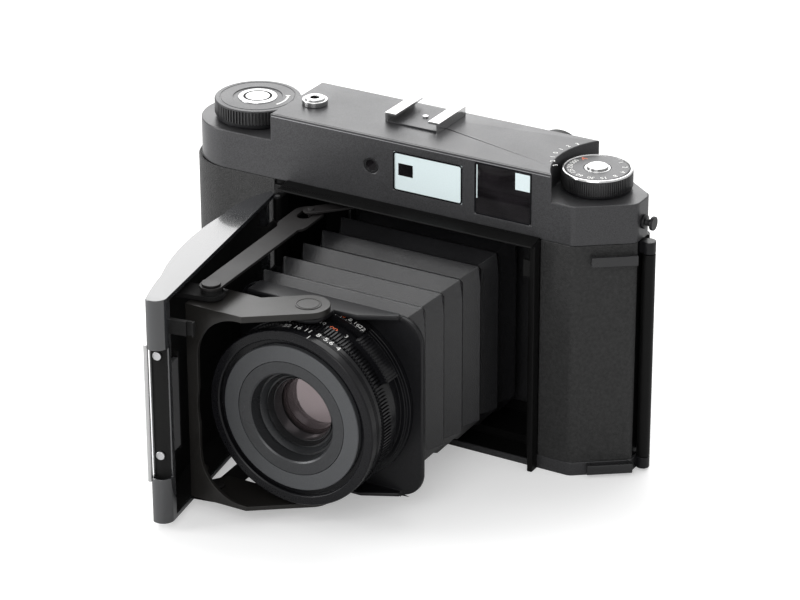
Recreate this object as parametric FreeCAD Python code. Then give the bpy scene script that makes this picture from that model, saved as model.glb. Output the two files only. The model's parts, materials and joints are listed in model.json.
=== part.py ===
import FreeCAD, Part
import math
import os

V = FreeCAD.Vector

# Medium format folding camera, in millimetres. It is modelled with the front face of the top
# cover at y = 0, x to the viewer's right and z up from the base, and moved at the end so that
# the centre of the tripod socket's mouth is the origin.

# Body
BODY_LEFT = -88.2
BODY_RIGHT = 83.5
BODY_DEPTH = 34.5
COVER_LEFT = -86.7
CORNER_X = 17.0
CORNER_Y = 12.5
CORNER_ROUND = 4.0
BASE_FLOOR = 1.5
BASE_RIM = 5.0
SKIN = 0.8
COVER_Z = 85.2
TOP_Z = 109.0
COVER_RISE = TOP_Z - COVER_Z
DECK_Z = COVER_Z + 0.5924 * COVER_RISE
COVER_WALL = 1.4
BLOCK_LEFT = -50.6
BLOCK_RIGHT_FRONT = 58.2
BLOCK_RIGHT_MIDDLE = 52.4
GAP = 0.3
FIT = 0.05

# Lens axis and the film behind it
LENS_X = 4.3
LENS_Z = 40.3
FILM_Y = 28.3
GATE_FRONT_Y = 25.5
GATE_WIDTH = 69.0
GATE_HEIGHT = 56.0
FILM_MARGIN = 5.5
FILM_BAND = GATE_HEIGHT / 2 + FILM_MARGIN

# Front opening
OPEN_LEFT = -44.3
OPEN_RIGHT = 48.6
OPEN_FLOOR = 2.4
OPEN_TOP = 84.0
MOUTH_RIGHT = 52.2
MOUTH_DEPTH = 3.0

# Spools
TAKEUP_X = -66.8
SUPPLY_X = 64.5
SPOOL_Y = 17.8
SPOOL_R = 12.6
SPOOL_HALF = 32.9
SPOOL_CORE_R = 5.6
SPOOL_BORE_R = 2.6
CHAMBER_R = 13.4
CHAMBER_CLEAR = 1.0

# Back door
BACK_DEPTH = 36.2
BACK_WALL = 2.2
BACK_SEAM_Y = 31.2
BACK_SIDE_Y = 20.8
BAR_X = 85.8
BAR_Y = 17.5
BAR_R = 2.3
BAR_PIN_R = 1.2

# Front door, in its own directions: along from the hinge, deep to the outside
HINGE_X = -45.0
HINGE_Y = -5.0
OPEN_ANGLE = 9.7
DOOR_RIM = 92.4
DOOR_LENGTH = DOOR_RIM + 4.3
DOOR_BULGE = 12.2
DOOR_Z0 = 2.7
DOOR_Z1 = 83.6
DOOR_SKIN = 0.7
DOOR_FRAME = 0.8
KNUCKLE_R = 1.9
HINGE_PIN_R = 0.9

# Fold: arm pivot on the door, arm pivot on the lens board, and the link that ties each
# strut to the body by a post
ARM_PIVOT = (-25.6, -76.6)
BOARD_PIVOT = (LENS_X, -65.3)
LINK_PIN = (-27.8, -11.0)
LINK_POST = (-15.0, 3.6)
ARM_TOP = (74.3, 76.5)
ARM_BOTTOM = (5.8, 7.3)
ARM_LEFT = -30.8
ARM_BEND = -9.3
ARM_BACK_Y = BOARD_PIVOT[1] - 3.1
ARM_NOSE_R = 7.2
ARM_NOSE_SIDE = 4.6
ARM_FRONT_Y = -84.4
ARM_PANEL = 1.4
ARM_SIDE = 1.2
ARM_OPEN_LEFT = -26.6
ARM_OPEN_CORNER = 16.0
ARM_RELIEF = 0.5
STRUT_TOP = (80.2, 81.2)
STRUT_BOTTOM = (4.6, 5.4)
STRUT_HALF = 3.9
STRUT_WIDE_HALF = 5.4
STRUT_WIDE_LENGTH = 16.0
STRUT_TRIM = 0.95
SLOT_NEAR = 62.5
SLOT_FAR = 65.8
SLOT_HALF = 2.45
LINK_TOP = (81.7, 82.5)
LINK_BOTTOM = (3.2, 4.1)
LINK_HALF = 2.8
LINK_PIN_R = 1.1
LINK_POST_R = 1.6
PIVOT_R = 1.8
SHELF_HALF = 27.0
BOARD_SCREW_R = 1.4
BOARD_HEAD_R = 4.4

# Lens, measured along y from its front rim to the board
RIM_FRONT_Y = -77.5
FACE_Y = RIM_FRONT_Y + 0.2
RIM_BACK_Y = -74.6
APERTURE_BACK_Y = -70.2
FOCUS_BACK_Y = -60.4
BOARD_Y = -52.4
BOARD_THICK = 2.0
BOARD_HALF_X = 35.0
BOARD_HALF_Z = 32.5
BOARD_CORNER = 9.0
RIM_R = 31.0
THREAD_R = 27.5
THREAD_DEPTH = 2.0
FACE_R = 25.6
HOOD_R = 22.2
HOOD_MOUTH_R = 15.8
GLASS_Y = FACE_Y + 11.1
GLASS_R = 11.2
GLASS_SEAT = 1.0
GLASS_THICK = 4.2
APERTURE_R = 30.4
FOCUS_R = 31.0
TAB_R = FOCUS_R + 2.6
TAB_FROM = 27.0
TAB_TO = 57.0
HOUSING_R = 29.0
FLANGE_R = 31.8
LENS_RUN = 0.3
GUIDE_R = 24.4
UNIT_R = 22.25
UNIT_FRONT_Y = -67.5
REAR_R = 17.0
REAR_Y = -46.0

# Bellows
BELLOWS_FOLDS = 6
BELLOWS_HALF_X = 34.4
BELLOWS_HALF_Z = 33.4
BELLOWS_FOLD_DEEP = 5.0
BELLOWS_WALL = 1.0

# Controls
KNOB_X = TAKEUP_X
KNOB_Y = SPOOL_Y
KNOB_R = 15.1
KNOB_TOP = COVER_Z + 0.895 * COVER_RISE
SHAFT_R = 4.0
RELEASE_X = -42.0
RELEASE_Y = 15.5
RELEASE_R = 4.5
DIAL_X = 65.2
DIAL_Y = 19.2
DIAL_R = 12.0
DIAL_TOP = COVER_Z + 0.8866 * COVER_RISE
SHOE_X = -2.2
SHOE_Y = 22.5
SHOE_LENGTH = 18.5
SHOE_INNER = 18.7
SHOE_THROAT = 12.6
SHOE_SLOT = 2.1
EYE_X = 40.0
EYE_Z = COVER_Z + 0.5168 * COVER_RISE
EYE_R = 0.395 * COVER_RISE
EYE_END_Y = 41.5
SOCKET_R = 3.175
SOCKET_DEPTH = 4.6
SOCKET_BUSH_R = 7.0
CELL_X = -50.6
CELL_Y = 6.4
BATTERY_R = 3.95
BATTERY_H = 5.4
BUTTON_X = 57.0
BUTTON_Y = 5.2

# Catch of the front door, in the right wall of the mouth, and its striker on the door
CATCH_TIP_X = 47.5
CATCH_END_X = 56.0
CATCH_Y0 = 1.1
CATCH_Y1 = 2.4
CATCH_Z0 = 70.0
CATCH_Z1 = 76.0
CATCH_TRAVEL = 1.3
STRIKER_A0 = DOOR_RIM - 2.2
STRIKER_A1 = DOOR_RIM - 0.4

SOCKET_Y = 17.0
ORIGIN = V(0, -SOCKET_Y, 0)


def box(x0, x1, y0, y1, z0, z1):
    return Part.makeBox(x1 - x0, y1 - y0, z1 - z0, V(x0, y0, z0))


def cyl_z(x, y, z0, z1, r):
    return Part.makeCylinder(r, z1 - z0, V(x, y, z0), V(0, 0, 1))


def cyl_y(x, z, y0, y1, r):
    return Part.makeCylinder(r, y1 - y0, V(x, y0, z), V(0, 1, 0))


def cyl_x(y, z, x0, x1, r):
    return Part.makeCylinder(r, x1 - x0, V(x0, y, z), V(1, 0, 0))


def tube_z(x, y, z0, z1, outer, inner):
    return cyl_z(x, y, z0, z1, outer).cut(cyl_z(x, y, z0 - 1, z1 + 1, inner))


def lens_disc(y0, y1, r):
    return cyl_y(LENS_X, LENS_Z, y0, y1, r)


def lens_ring(y0, y1, outer, inner):
    return lens_disc(y0, y1, outer).cut(lens_disc(y0 - 1, y1 + 1, inner))


def lines(points, closed=True):
    ends = points[1:] + points[:1] if closed else points[1:]
    return [Part.LineSegment(a, b).toShape() for a, b in zip(points, ends)]


def prism(edges, z0, z1):
    face = edges if isinstance(edges, Part.Face) else Part.Face(Part.Wire(edges))
    face = face.copy()
    face.translate(V(0, 0, z0))
    return face.extrude(V(0, 0, z1 - z0))


def body_face(depth=BODY_DEPTH, left=BODY_LEFT, inset=0.0):
    # Plan of the body: a half round at the left end and two long chamfers at the right end.
    r = depth / 2
    a = V(left + r, 0, 0)
    b = V(BODY_RIGHT - CORNER_X, 0, 0)
    c = V(BODY_RIGHT, CORNER_Y, 0)
    d = V(BODY_RIGHT, depth - CORNER_Y, 0)
    e = V(BODY_RIGHT - CORNER_X, depth, 0)
    f = V(left + r, depth, 0)
    edges = lines([a, b, c, d, e, f], closed=False)
    edges.append(Part.Arc(f, V(left, r, 0), a).toShape())
    face = Part.Face(Part.Wire(edges))
    corners = [V(p.x, p.y, 0) for p in (b, c, d, e)]
    solid = prism(face, 0, 1)
    picked = [g for g in solid.Edges if any(on_corner(g, p) for p in corners)]
    solid = solid.makeFillet(CORNER_ROUND, picked)
    face = min(solid.Faces, key=lambda g: g.CenterOfMass.z)
    face = Part.Face(face.OuterWire)
    if inset:
        face = face.makeOffset2D(-inset)
    return face


def on_corner(edge, point):
    a, b = edge.Vertexes[0].Point, edge.Vertexes[-1].Point
    upright = abs(a.z - b.z) > 0.5
    return upright and V(a.x, a.y, 0).distanceToPoint(point) < 0.01


def body_prism(z0, z1, depth=BODY_DEPTH, left=BODY_LEFT, inset=0.0):
    return prism(body_face(depth, left, inset), z0, z1)


def door_point(along, deep, z=0.0):
    # A place on the open front door; deep is measured to the outside of the closed door.
    t = math.radians(OPEN_ANGLE)
    x = HINGE_X + along * math.sin(t) - deep * math.cos(t)
    y = HINGE_Y - along * math.cos(t) - deep * math.sin(t)
    return V(x, y, z)


def door_box(a0, a1, d0, d1, z0, z1):
    corners = [door_point(a, d) for a, d in ((a0, d0), (a1, d0), (a1, d1), (a0, d1))]
    return prism(lines(corners), z0, z1)


def rounded_plate(cx, cz, half_x, half_z, r, y0, y1):
    # Upright plate with round corners, square to the lens axis.
    plate = box(cx - half_x, cx + half_x, y0, y1, cz - half_z, cz + half_z)
    upright = [e for e in plate.Edges if abs(e.Vertexes[0].Y - e.Vertexes[-1].Y) > 1e-6]
    return plate.makeFillet(r, upright)


def capsule(p, q, r, z0, z1):
    # Flat link with round ends between two pivots.
    u = V(q[0] - p[0], q[1] - p[1], 0)
    u.normalize()
    n = V(-u.y, u.x, 0)
    a, b = V(p[0], p[1], 0), V(q[0], q[1], 0)
    edges = [
        Part.LineSegment(a + n * r, b + n * r).toShape(),
        Part.Arc(b + n * r, b + u * r, b - n * r).toShape(),
        Part.LineSegment(b - n * r, a - n * r).toShape(),
        Part.Arc(a - n * r, a - u * r, a + n * r).toShape(),
    ]
    return prism(edges, z0, z1)


def save(name, *solids):
    shape = solids[0] if len(solids) == 1 else Part.makeCompound(list(solids))
    shape = shape.copy()
    shape.translate(ORIGIN)
    shape.exportStep(os.path.join("parts", name + ".step"))


def block_face(inset=0.0):
    # Raised middle of the top cover; its right end is hollowed round the speed dial.
    a = V(BLOCK_LEFT + inset, inset, 0)
    b = V(BLOCK_RIGHT_FRONT - inset, inset, 0)
    m = V(BLOCK_RIGHT_MIDDLE - inset, BODY_DEPTH / 2, 0)
    c = V(BLOCK_RIGHT_FRONT - inset, BODY_DEPTH - inset, 0)
    d = V(BLOCK_LEFT + inset, BODY_DEPTH - inset, 0)
    edges = [Part.LineSegment(a, b).toShape(), Part.Arc(b, m, c).toShape()]
    edges += [Part.LineSegment(c, d).toShape(), Part.LineSegment(d, a).toShape()]
    return Part.Face(Part.Wire(edges))


# Windows in the cover's front face: centre x, centre z, half width, half height
BRIGHT_WINDOW = (11.3, COVER_Z + 0.546 * COVER_RISE, 13.2, 0.294 * COVER_RISE)
FINDER_WINDOW = (EYE_X, COVER_Z + 0.563 * COVER_RISE, 10.6, 0.3908 * COVER_RISE)
ROUND_WINDOW = (-10.6, COVER_Z + 0.55 * COVER_RISE, 2.8)
WINDOW_THICK = 1.0


def window_box(window, y0, y1, grow=0.0):
    x, z, half_x, half_z = window
    return box(x - half_x - grow, x + half_x + grow, y0, y1, z - half_z - grow, z + half_z + grow)


def make_top_cover():
    deck = body_prism(COVER_Z, DECK_Z, left=COVER_LEFT)
    block = prism(block_face(), COVER_Z, TOP_Z)
    cover = deck.fuse(block).removeSplitter()
    inner_deck = body_prism(COVER_Z - 1, DECK_Z - COVER_WALL, left=COVER_LEFT, inset=COVER_WALL)
    inner_block = prism(block_face(COVER_WALL), COVER_Z - 1, TOP_Z - COVER_WALL)
    cover = cover.cut(inner_deck.fuse(inner_block))
    for window in (BRIGHT_WINDOW, FINDER_WINDOW):
        cover = cover.cut(window_box(window, -1, COVER_WALL + 1))
    x, z, r = ROUND_WINDOW
    cover = cover.cut(cyl_y(x, z, -1, COVER_WALL + 1, r))
    cover = cover.cut(cyl_z(KNOB_X, KNOB_Y, DECK_Z - 3, DECK_Z + 1, SHAFT_R + GAP))
    cover = cover.cut(cyl_z(DIAL_X, DIAL_Y, DECK_Z - 3, DECK_Z + 1, SHAFT_R + GAP))
    cover = cover.cut(cyl_z(RELEASE_X, RELEASE_Y, TOP_Z - 3, TOP_Z + 1, RELEASE_R - 1))
    cover = cover.cut(cyl_y(EYE_X, EYE_Z, BODY_DEPTH - 3, BODY_DEPTH + 1, EYE_R - 2))
    cover = cover.cut(cyl_z(SHOE_X, SHOE_Y, TOP_Z - 3, TOP_Z + 1, 2.2))
    for side_x in (COVER_LEFT, BODY_RIGHT):
        cover = cover.cut(lug_stud(side_x))
    save("top_cover", cover)


LUG_Z = COVER_Z + 0.265 * COVER_RISE
LUG_R = 2.4
LUG_STEM_R = 1.2
LUG_OUT = 4.2
LUG_ROOT = 3.4
LUG_PLATE = 1.1
LUG_Y = 17.2
LEFT_LUG_Y = 26.0


def lug_line(side_x):
    # Where a lug leaves the cover and the way it points: square to the right end face,
    # radial on the round left end.
    if side_x > 0:
        return V(side_x, LUG_Y, LUG_Z), V(1, 0, 0)
    centre = V(COVER_LEFT + BODY_DEPTH / 2, BODY_DEPTH / 2, LUG_Z)
    rise = LEFT_LUG_Y - BODY_DEPTH / 2
    out = V(-math.sqrt((BODY_DEPTH / 2) ** 2 - rise ** 2), rise, 0)
    out.normalize()
    return centre + out * (BODY_DEPTH / 2), out


def lug_stud(side_x):
    foot, out = lug_line(side_x)
    return Part.makeCylinder(LUG_STEM_R, LUG_ROOT + LUG_OUT, foot - out * LUG_ROOT, out)


def make_strap_lugs():
    studs = []
    for side_x in (COVER_LEFT, BODY_RIGHT):
        foot, out = lug_line(side_x)
        collar = Part.makeCylinder(LUG_R, LUG_PLATE, foot, out)
        head = Part.makeCylinder(LUG_R, LUG_PLATE, foot + out * (LUG_OUT - LUG_PLATE), out)
        studs.append(lug_stud(side_x).fuse([collar, head]))
    save("strap_lugs", *studs)


def spool_pocket(x, r, z0, z1):
    # Round chamber that opens to the back.
    pocket = cyl_z(x, SPOOL_Y, z0, z1, r)
    return pocket.fuse(box(x - r, x + r, SPOOL_Y, BODY_DEPTH + 5, z0, z1))


CHAMBER_Z0 = LENS_Z - SPOOL_HALF - CHAMBER_CLEAR
CHAMBER_Z1 = LENS_Z + SPOOL_HALF + CHAMBER_CLEAR
CHASSIS_TOP = 85.0
SILL_Y = 10.0
SILL_TOP = 5.2
SHELF_UNDER = 78.0
PIN_BORE_R = 3.3
ROLLER_OFF = GATE_WIDTH / 2 + 4.5
ROLLER_R = 1.7
ROLLER_Y = FILM_Y - 0.9


def make_chassis():
    whole = body_prism(BASE_FLOOR, CHASSIS_TOP, inset=SKIN)
    seam = BACK_SEAM_Y - GAP
    front_part = box(-100, 100, -10, BACK_SIDE_Y - GAP, 0, 100)
    rear_keep = body_prism(0, 100, depth=BACK_DEPTH, inset=BACK_WALL + GAP)
    rear_keep = rear_keep.common(box(-100, 100, 10, seam, 0, 100))
    left_round = box(-100, TAKEUP_X, -10, seam, 0, 100)
    body = whole.common(front_part.fuse([rear_keep, left_round]))
    well = box(OPEN_LEFT, OPEN_RIGHT, -1, GATE_FRONT_Y, OPEN_FLOOR, OPEN_TOP)
    mouth = box(OPEN_LEFT, MOUTH_RIGHT, -1, MOUTH_DEPTH, OPEN_FLOOR, OPEN_TOP)
    body = body.cut(well.fuse(mouth))
    sill = box(OPEN_LEFT - 1, OPEN_RIGHT + 1, SILL_Y, GATE_FRONT_Y, BASE_FLOOR, SILL_TOP)
    shelf = box(OPEN_LEFT - 1, OPEN_RIGHT + 1, SILL_Y, GATE_FRONT_Y, SHELF_UNDER, CHASSIS_TOP)
    top_post = cyl_z(*LINK_POST, LINK_TOP[0] - 0.1, CHASSIS_TOP, LINK_POST_R)
    bottom_post = cyl_z(*LINK_POST, BASE_FLOOR, LINK_BOTTOM[1] + 0.1, LINK_POST_R)
    body = body.fuse([sill, shelf, top_post, bottom_post])
    body = body.cut(spool_pocket(TAKEUP_X, CHAMBER_R, CHAMBER_Z0, CHAMBER_Z1))
    body = body.cut(spool_pocket(SUPPLY_X, CHAMBER_R, CHAMBER_Z0, CHAMBER_Z1))
    film_path = box(TAKEUP_X, SUPPLY_X, FILM_Y, BODY_DEPTH, LENS_Z - FILM_BAND, LENS_Z + FILM_BAND)
    body = body.cut(film_path)
    half_w, half_h = GATE_WIDTH / 2, GATE_HEIGHT / 2
    gate = box(LENS_X - half_w, LENS_X + half_w, 20, 32, LENS_Z - half_h, LENS_Z + half_h)
    body = body.cut(gate)
    for side in (-1, 1):
        x = LENS_X + side * ROLLER_OFF
        groove = cyl_z(x, ROLLER_Y, LENS_Z - FILM_BAND, LENS_Z + FILM_BAND, ROLLER_R + GAP)
        body = body.cut(groove)
        body = body.cut(cyl_z(x, ROLLER_Y, CHAMBER_Z0 - 2, CHAMBER_Z1 + 2, 0.7 + FIT))
    for x in (TAKEUP_X, SUPPLY_X):
        body = body.cut(cyl_z(x, SPOOL_Y, BASE_FLOOR + 0.5, CHAMBER_Z0 + 1, PIN_BORE_R))
    body = body.cut(cyl_z(TAKEUP_X, SPOOL_Y, CHAMBER_Z1 - 1, 90, SHAFT_R + FIT))
    body = body.cut(cyl_z(CELL_X, CELL_Y, 0, 2.8 + 2 * BATTERY_H + 0.4, BATTERY_R + 0.2))
    body = body.cut(cyl_z(0, SOCKET_Y, 0, OPEN_FLOOR + 4, SOCKET_BUSH_R))
    body = body.cut(cyl_z(BUTTON_X, BUTTON_Y, 0, 5.6, 2.7))
    catch_slot = box(MOUTH_RIGHT - 2, CATCH_END_X + CATCH_TRAVEL + GAP, CATCH_Y0 - 0.1, CATCH_Y1 + 0.1,
                     CATCH_Z0 - 0.1, CATCH_Z1 + 0.1)
    body = body.cut(catch_slot)
    hub = cyl_z(SUPPLY_X, SPOOL_Y, LENS_Z + SPOOL_HALF - 3, CHAMBER_Z1 + 1, SPOOL_BORE_R - FIT)
    bearing = tube_z(DIAL_X, DIAL_Y, CHASSIS_TOP, DECK_Z - 2.6, SHAFT_R + 2, SHAFT_R + FIT)
    save("chassis", body.fuse([hub, bearing]).removeSplitter())


def make_base_plate():
    plate = body_prism(0, BASE_RIM, depth=BODY_DEPTH)
    plate = plate.cut(body_prism(BASE_FLOOR, BASE_RIM + 1, inset=SKIN))
    plate = plate.cut(box(OPEN_LEFT, MOUTH_RIGHT, -1, SKIN + 0.1, OPEN_FLOOR, BASE_RIM + 1))
    seam = box(-100, 100, BACK_SEAM_Y - GAP, 50, BASE_FLOOR, 20)
    side = box(TAKEUP_X, 100, BACK_SIDE_Y - GAP, 50, BASE_FLOOR, 20)
    plate = plate.cut(seam.fuse(side))
    plate = plate.cut(cyl_z(0, SOCKET_Y, -1, 5, SOCKET_BUSH_R))
    plate = plate.cut(cyl_z(CELL_X, CELL_Y, -1, 5, BATTERY_R + 1.2))
    plate = plate.cut(cyl_z(BUTTON_X, BUTTON_Y, -1, 5, 2.7))
    save("base_plate", plate)


def make_tripod_socket():
    bush = cyl_z(0, SOCKET_Y, 0, OPEN_FLOOR + 2.8, SOCKET_BUSH_R)
    save("tripod_socket", bush.cut(cyl_z(0, SOCKET_Y, -1, SOCKET_DEPTH, SOCKET_R)))


LEDGE_Y = -6.5
LEDGE_UNDER = 84.1
JAMB_X = 54.4
JAMB_Y = -4.0
HINGE_LEAF_X = -48.2
KNUCKLES = 4


def knuckle_spans():
    # The hinge line is cut into alternating knuckles: body, door, body, door ...
    z0, z1 = DOOR_Z0 + 2.0, DOOR_Z1 - 2.0
    step = (z1 - z0) / (2 * KNUCKLES + 1)
    return [(z0 + i * step + 0.15, z0 + (i + 1) * step - 0.15) for i in range(2 * KNUCKLES + 1)]


def make_front_frame():
    # Ledge over the opening, right jamb and the fixed hinge leaf at the left.
    top = COVER_Z + 0.7
    section = [V(0, 0, LEDGE_UNDER), V(0, 0, top), V(0, LEDGE_Y, top - 1.1), V(0, LEDGE_Y, LEDGE_UNDER)]
    ledge = Part.Face(Part.Wire(lines(section))).extrude(V(JAMB_X - HINGE_LEAF_X - 4, 0, 0))
    ledge.translate(V(HINGE_LEAF_X + 4, 0, 0))
    jamb = box(MOUTH_RIGHT + GAP, JAMB_X, JAMB_Y, 0, OPEN_FLOOR, LEDGE_UNDER)
    foot = box(MOUTH_RIGHT + GAP, JAMB_X, JAMB_Y, 0, 0.0, OPEN_FLOOR)
    leaf = box(HINGE_LEAF_X, OPEN_LEFT, -1.6, 0, DOOR_Z0 + 2, LEDGE_UNDER)
    frame = ledge.fuse([jamb, foot, leaf])
    for z0, z1 in knuckle_spans()[0::2]:
        web = box(HINGE_X - KNUCKLE_R, HINGE_X + KNUCKLE_R, HINGE_Y, -1, z0, z1)
        frame = frame.fuse([cyl_z(HINGE_X, HINGE_Y, z0, z1, KNUCKLE_R), web])
    frame = frame.cut(cyl_z(HINGE_X, HINGE_Y, 0, 90, HINGE_PIN_R + FIT))
    save("front_frame", frame.removeSplitter())


def make_grips():
    layer = body_prism(BASE_RIM, COVER_Z, inset=0.0).cut(body_prism(0, 100, inset=SKIN))
    left = layer.common(box(-100, HINGE_LEAF_X - 1, -5, BACK_SEAM_Y - GAP, 0, 100))
    rear_off = box(-100, 0, BODY_DEPTH / 2, 50, 0, 100).common(box(TAKEUP_X, 0, 0, 50, 0, 100))
    left = left.cut(rear_off)
    right = layer.common(box(JAMB_X, 100, -5, BAR_Y - BAR_R - 1.2, 0, 100))
    save("grip_left", left)
    save("grip_right", right)


def make_back_bar():
    # Upright bar at the right end: fixed end knuckles and the pin that the back swings on.
    caps = []
    spans = ((BODY_RIGHT, 1.0, BASE_RIM), (BODY_RIGHT - SKIN, COVER_Z - 4.5, COVER_Z - 0.3))
    for x0, z0, z1 in spans:
        web = box(x0, BAR_X, BAR_Y - 1.6, BAR_Y + 1.6, z0, z1)
        caps.append(cyl_z(BAR_X, BAR_Y, z0, z1, BAR_R).fuse(web))
    pin = cyl_z(BAR_X, BAR_Y, 1.0, COVER_Z - 0.3, BAR_PIN_R)
    save("back_bar", pin.fuse(caps))


def back_face_ring(inset0, inset1, z0, z1):
    return body_prism(z0, z1, depth=BACK_DEPTH, inset=inset0).cut(
        body_prism(z0 - 1, z1 + 1, depth=BACK_DEPTH, inset=inset1)
    )


BACK_Z0 = BASE_FLOOR + 0.4
BACK_Z1 = COVER_Z - 0.4
BACK_RIM = 1.4


def make_back_door():
    shell = back_face_ring(SKIN, BACK_WALL, BACK_Z0, BACK_Z1)
    rear = shell.common(box(-100, 100, BACK_SEAM_Y, 60, 0, 100))
    side = shell.common(box(BODY_RIGHT - CORNER_X - 2, 100, BACK_SIDE_Y, 60, 0, 100))
    door = rear.fuse(side)
    for z0, z1 in ((BACK_Z0, BACK_Z0 + BACK_RIM), (BACK_Z1 - BACK_RIM, BACK_Z1)):
        door = door.fuse(box(TAKEUP_X, SUPPLY_X - 2, BACK_SEAM_Y, BACK_DEPTH - BACK_WALL, z0, z1))
    z0, z1 = BASE_RIM + GAP, COVER_Z - 4.5 - GAP
    barrel = cyl_z(BAR_X, BAR_Y, z0, z1, BAR_R)
    tie_y = BACK_SIDE_Y + 1.2
    tie = box(BODY_RIGHT - BACK_WALL, BAR_X, BACK_SIDE_Y, tie_y, z0, z1)
    post = box(BODY_RIGHT + GAP, BAR_X, BAR_Y, tie_y, z0, z1)
    door = door.fuse([barrel, tie, post])
    door = door.cut(cyl_z(BAR_X, BAR_Y, 0, 100, BAR_PIN_R + FIT))
    for side in (-1, 1):
        for up in (-1, 1):
            x, z = LENS_X + side * 25, LENS_Z + up * 20
            door = door.fuse(cyl_y(x, z, PLATE_Y1 + 0.3 + PLATE_TRAVEL, BACK_DEPTH - BACK_WALL + 0.2, 2.0))
    save("back_door", door.removeSplitter())
    cover = back_face_ring(0.0, SKIN, BASE_RIM, COVER_Z - 0.6)
    rear = cover.common(box(-100, 100, BACK_SEAM_Y, 60, 0, 100))
    side = cover.common(box(BODY_RIGHT - CORNER_X - 2, 100, tie_y + GAP, 60, 0, 100))
    save("back_covering", rear.fuse(side).removeSplitter())


PLATE_Y0 = FILM_Y + 0.4
PLATE_Y1 = PLATE_Y0 + 1.4
PLATE_TRAVEL = 0.8
PLATE_BORDER = 3.0


def make_pressure_plate():
    half_w, half_h = GATE_WIDTH / 2 + PLATE_BORDER, GATE_HEIGHT / 2 + PLATE_BORDER
    plate = rounded_plate(LENS_X, LENS_Z, half_w, half_h, 3.0, PLATE_Y0, PLATE_Y1)
    save("pressure_plate", plate)


def make_back_latch():
    # Slide on the round left end that lets the back go.
    ring = back_face_ring(-1.6, -0.3, 33.0, 47.0)
    tab = ring.common(box(-100, -76, 20.5, 31.0, 0, 100))
    save("back_latch", tab)


def spool(x):
    z0, z1 = LENS_Z - SPOOL_HALF, LENS_Z + SPOOL_HALF
    flange = 1.2
    body = cyl_z(x, SPOOL_Y, z0, z1, SPOOL_CORE_R)
    body = body.fuse([cyl_z(x, SPOOL_Y, z0, z0 + flange, SPOOL_R),
                      cyl_z(x, SPOOL_Y, z1 - flange, z1, SPOOL_R)])
    body = body.cut(cyl_z(x, SPOOL_Y, z0 - 1, z0 + 5, SPOOL_BORE_R))
    body = body.cut(cyl_z(x, SPOOL_Y, z1 - 5, z1 + 1, SPOOL_BORE_R))
    slit = box(x - 8, x + 8, SPOOL_Y - 0.5, SPOOL_Y + 0.5, LENS_Z - 22, LENS_Z + 22)
    return body.cut(slit)


def make_spools():
    key = box(TAKEUP_X - 4, TAKEUP_X + 4, SPOOL_Y - 0.7, SPOOL_Y + 0.7,
              LENS_Z + SPOOL_HALF - 4, LENS_Z + SPOOL_HALF + 1)
    save("takeup_spool", spool(TAKEUP_X).cut(key))
    save("supply_spool", spool(SUPPLY_X))


def make_spool_pins():
    floor = CHAMBER_Z0
    for name, x in (("takeup_pin", TAKEUP_X), ("supply_pin", SUPPLY_X)):
        foot = cyl_z(x, SPOOL_Y, floor - 1.6, floor - 0.1, PIN_BORE_R - GAP)
        nib = cyl_z(x, SPOOL_Y, floor - 0.5, LENS_Z - SPOOL_HALF + 2.0, SPOOL_BORE_R - FIT)
        save(name, foot.fuse(nib))


def make_rollers():
    for name, side in (("roller_left", -1), ("roller_right", 1)):
        x = LENS_X + side * ROLLER_OFF
        body = cyl_z(x, ROLLER_Y, LENS_Z - FILM_BAND + GAP, LENS_Z + FILM_BAND - GAP, ROLLER_R)
        save(name, body.fuse(cyl_z(x, ROLLER_Y, CHAMBER_Z0 - 1.6, CHAMBER_Z1 + 1.6, 0.7)))


def make_knob():
    base = DECK_Z + GAP
    knob = cyl_z(KNOB_X, KNOB_Y, base, KNOB_TOP, KNOB_R)
    rim = [e for e in knob.Edges if abs(e.BoundBox.ZMin - KNOB_TOP) < 0.01]
    knob = knob.makeChamfer(0.6, rim)
    shaft = cyl_z(KNOB_X, KNOB_Y, CHAMBER_Z1 - 0.4, base + 1, SHAFT_R)
    drive = cyl_z(KNOB_X, KNOB_Y, LENS_Z + SPOOL_HALF - 2.8, CHAMBER_Z1, SPOOL_BORE_R - FIT)
    blade = box(KNOB_X - 3.7, KNOB_X + 3.7, KNOB_Y - 0.6, KNOB_Y + 0.6,
                LENS_Z + SPOOL_HALF - 2.8, CHAMBER_Z1)
    knob = knob.fuse([shaft, drive, blade])
    groove = tube_z(KNOB_X, KNOB_Y, KNOB_TOP - 0.4, KNOB_TOP + 1, 8.6, 8.0)
    save("advance_knob", knob.cut(groove).removeSplitter())


RELEASE_TRAVEL = 2.5


def make_release():
    collar = tube_z(RELEASE_X, RELEASE_Y, TOP_Z, TOP_Z + 2.0, RELEASE_R, RELEASE_R - 1.0)
    save("release_collar", collar)
    r = RELEASE_R - 1.0 - FIT
    button = cyl_z(RELEASE_X, RELEASE_Y, TOP_Z - 6.0, TOP_Z + 2.6, r)
    button = button.fuse(cyl_z(RELEASE_X, RELEASE_Y, TOP_Z - 6.0, TOP_Z - 5.0, RELEASE_R))
    button = button.cut(cyl_z(RELEASE_X, RELEASE_Y, TOP_Z - 3.0, TOP_Z + 4, 1.6))
    save("shutter_button", button)


CIRCUIT_Z0 = CHASSIS_TOP + 2.0
CIRCUIT_Z1 = CIRCUIT_Z0 + 1.6
CIRCUIT_LEFT = RELEASE_X - 6.0
CIRCUIT_RIGHT = 24.0
CIRCUIT_BACK = BODY_DEPTH - 2.5
CIRCUIT_FRONT = CIRCUIT_BACK - 12.5
CHIP_RISE = 1.4


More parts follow.
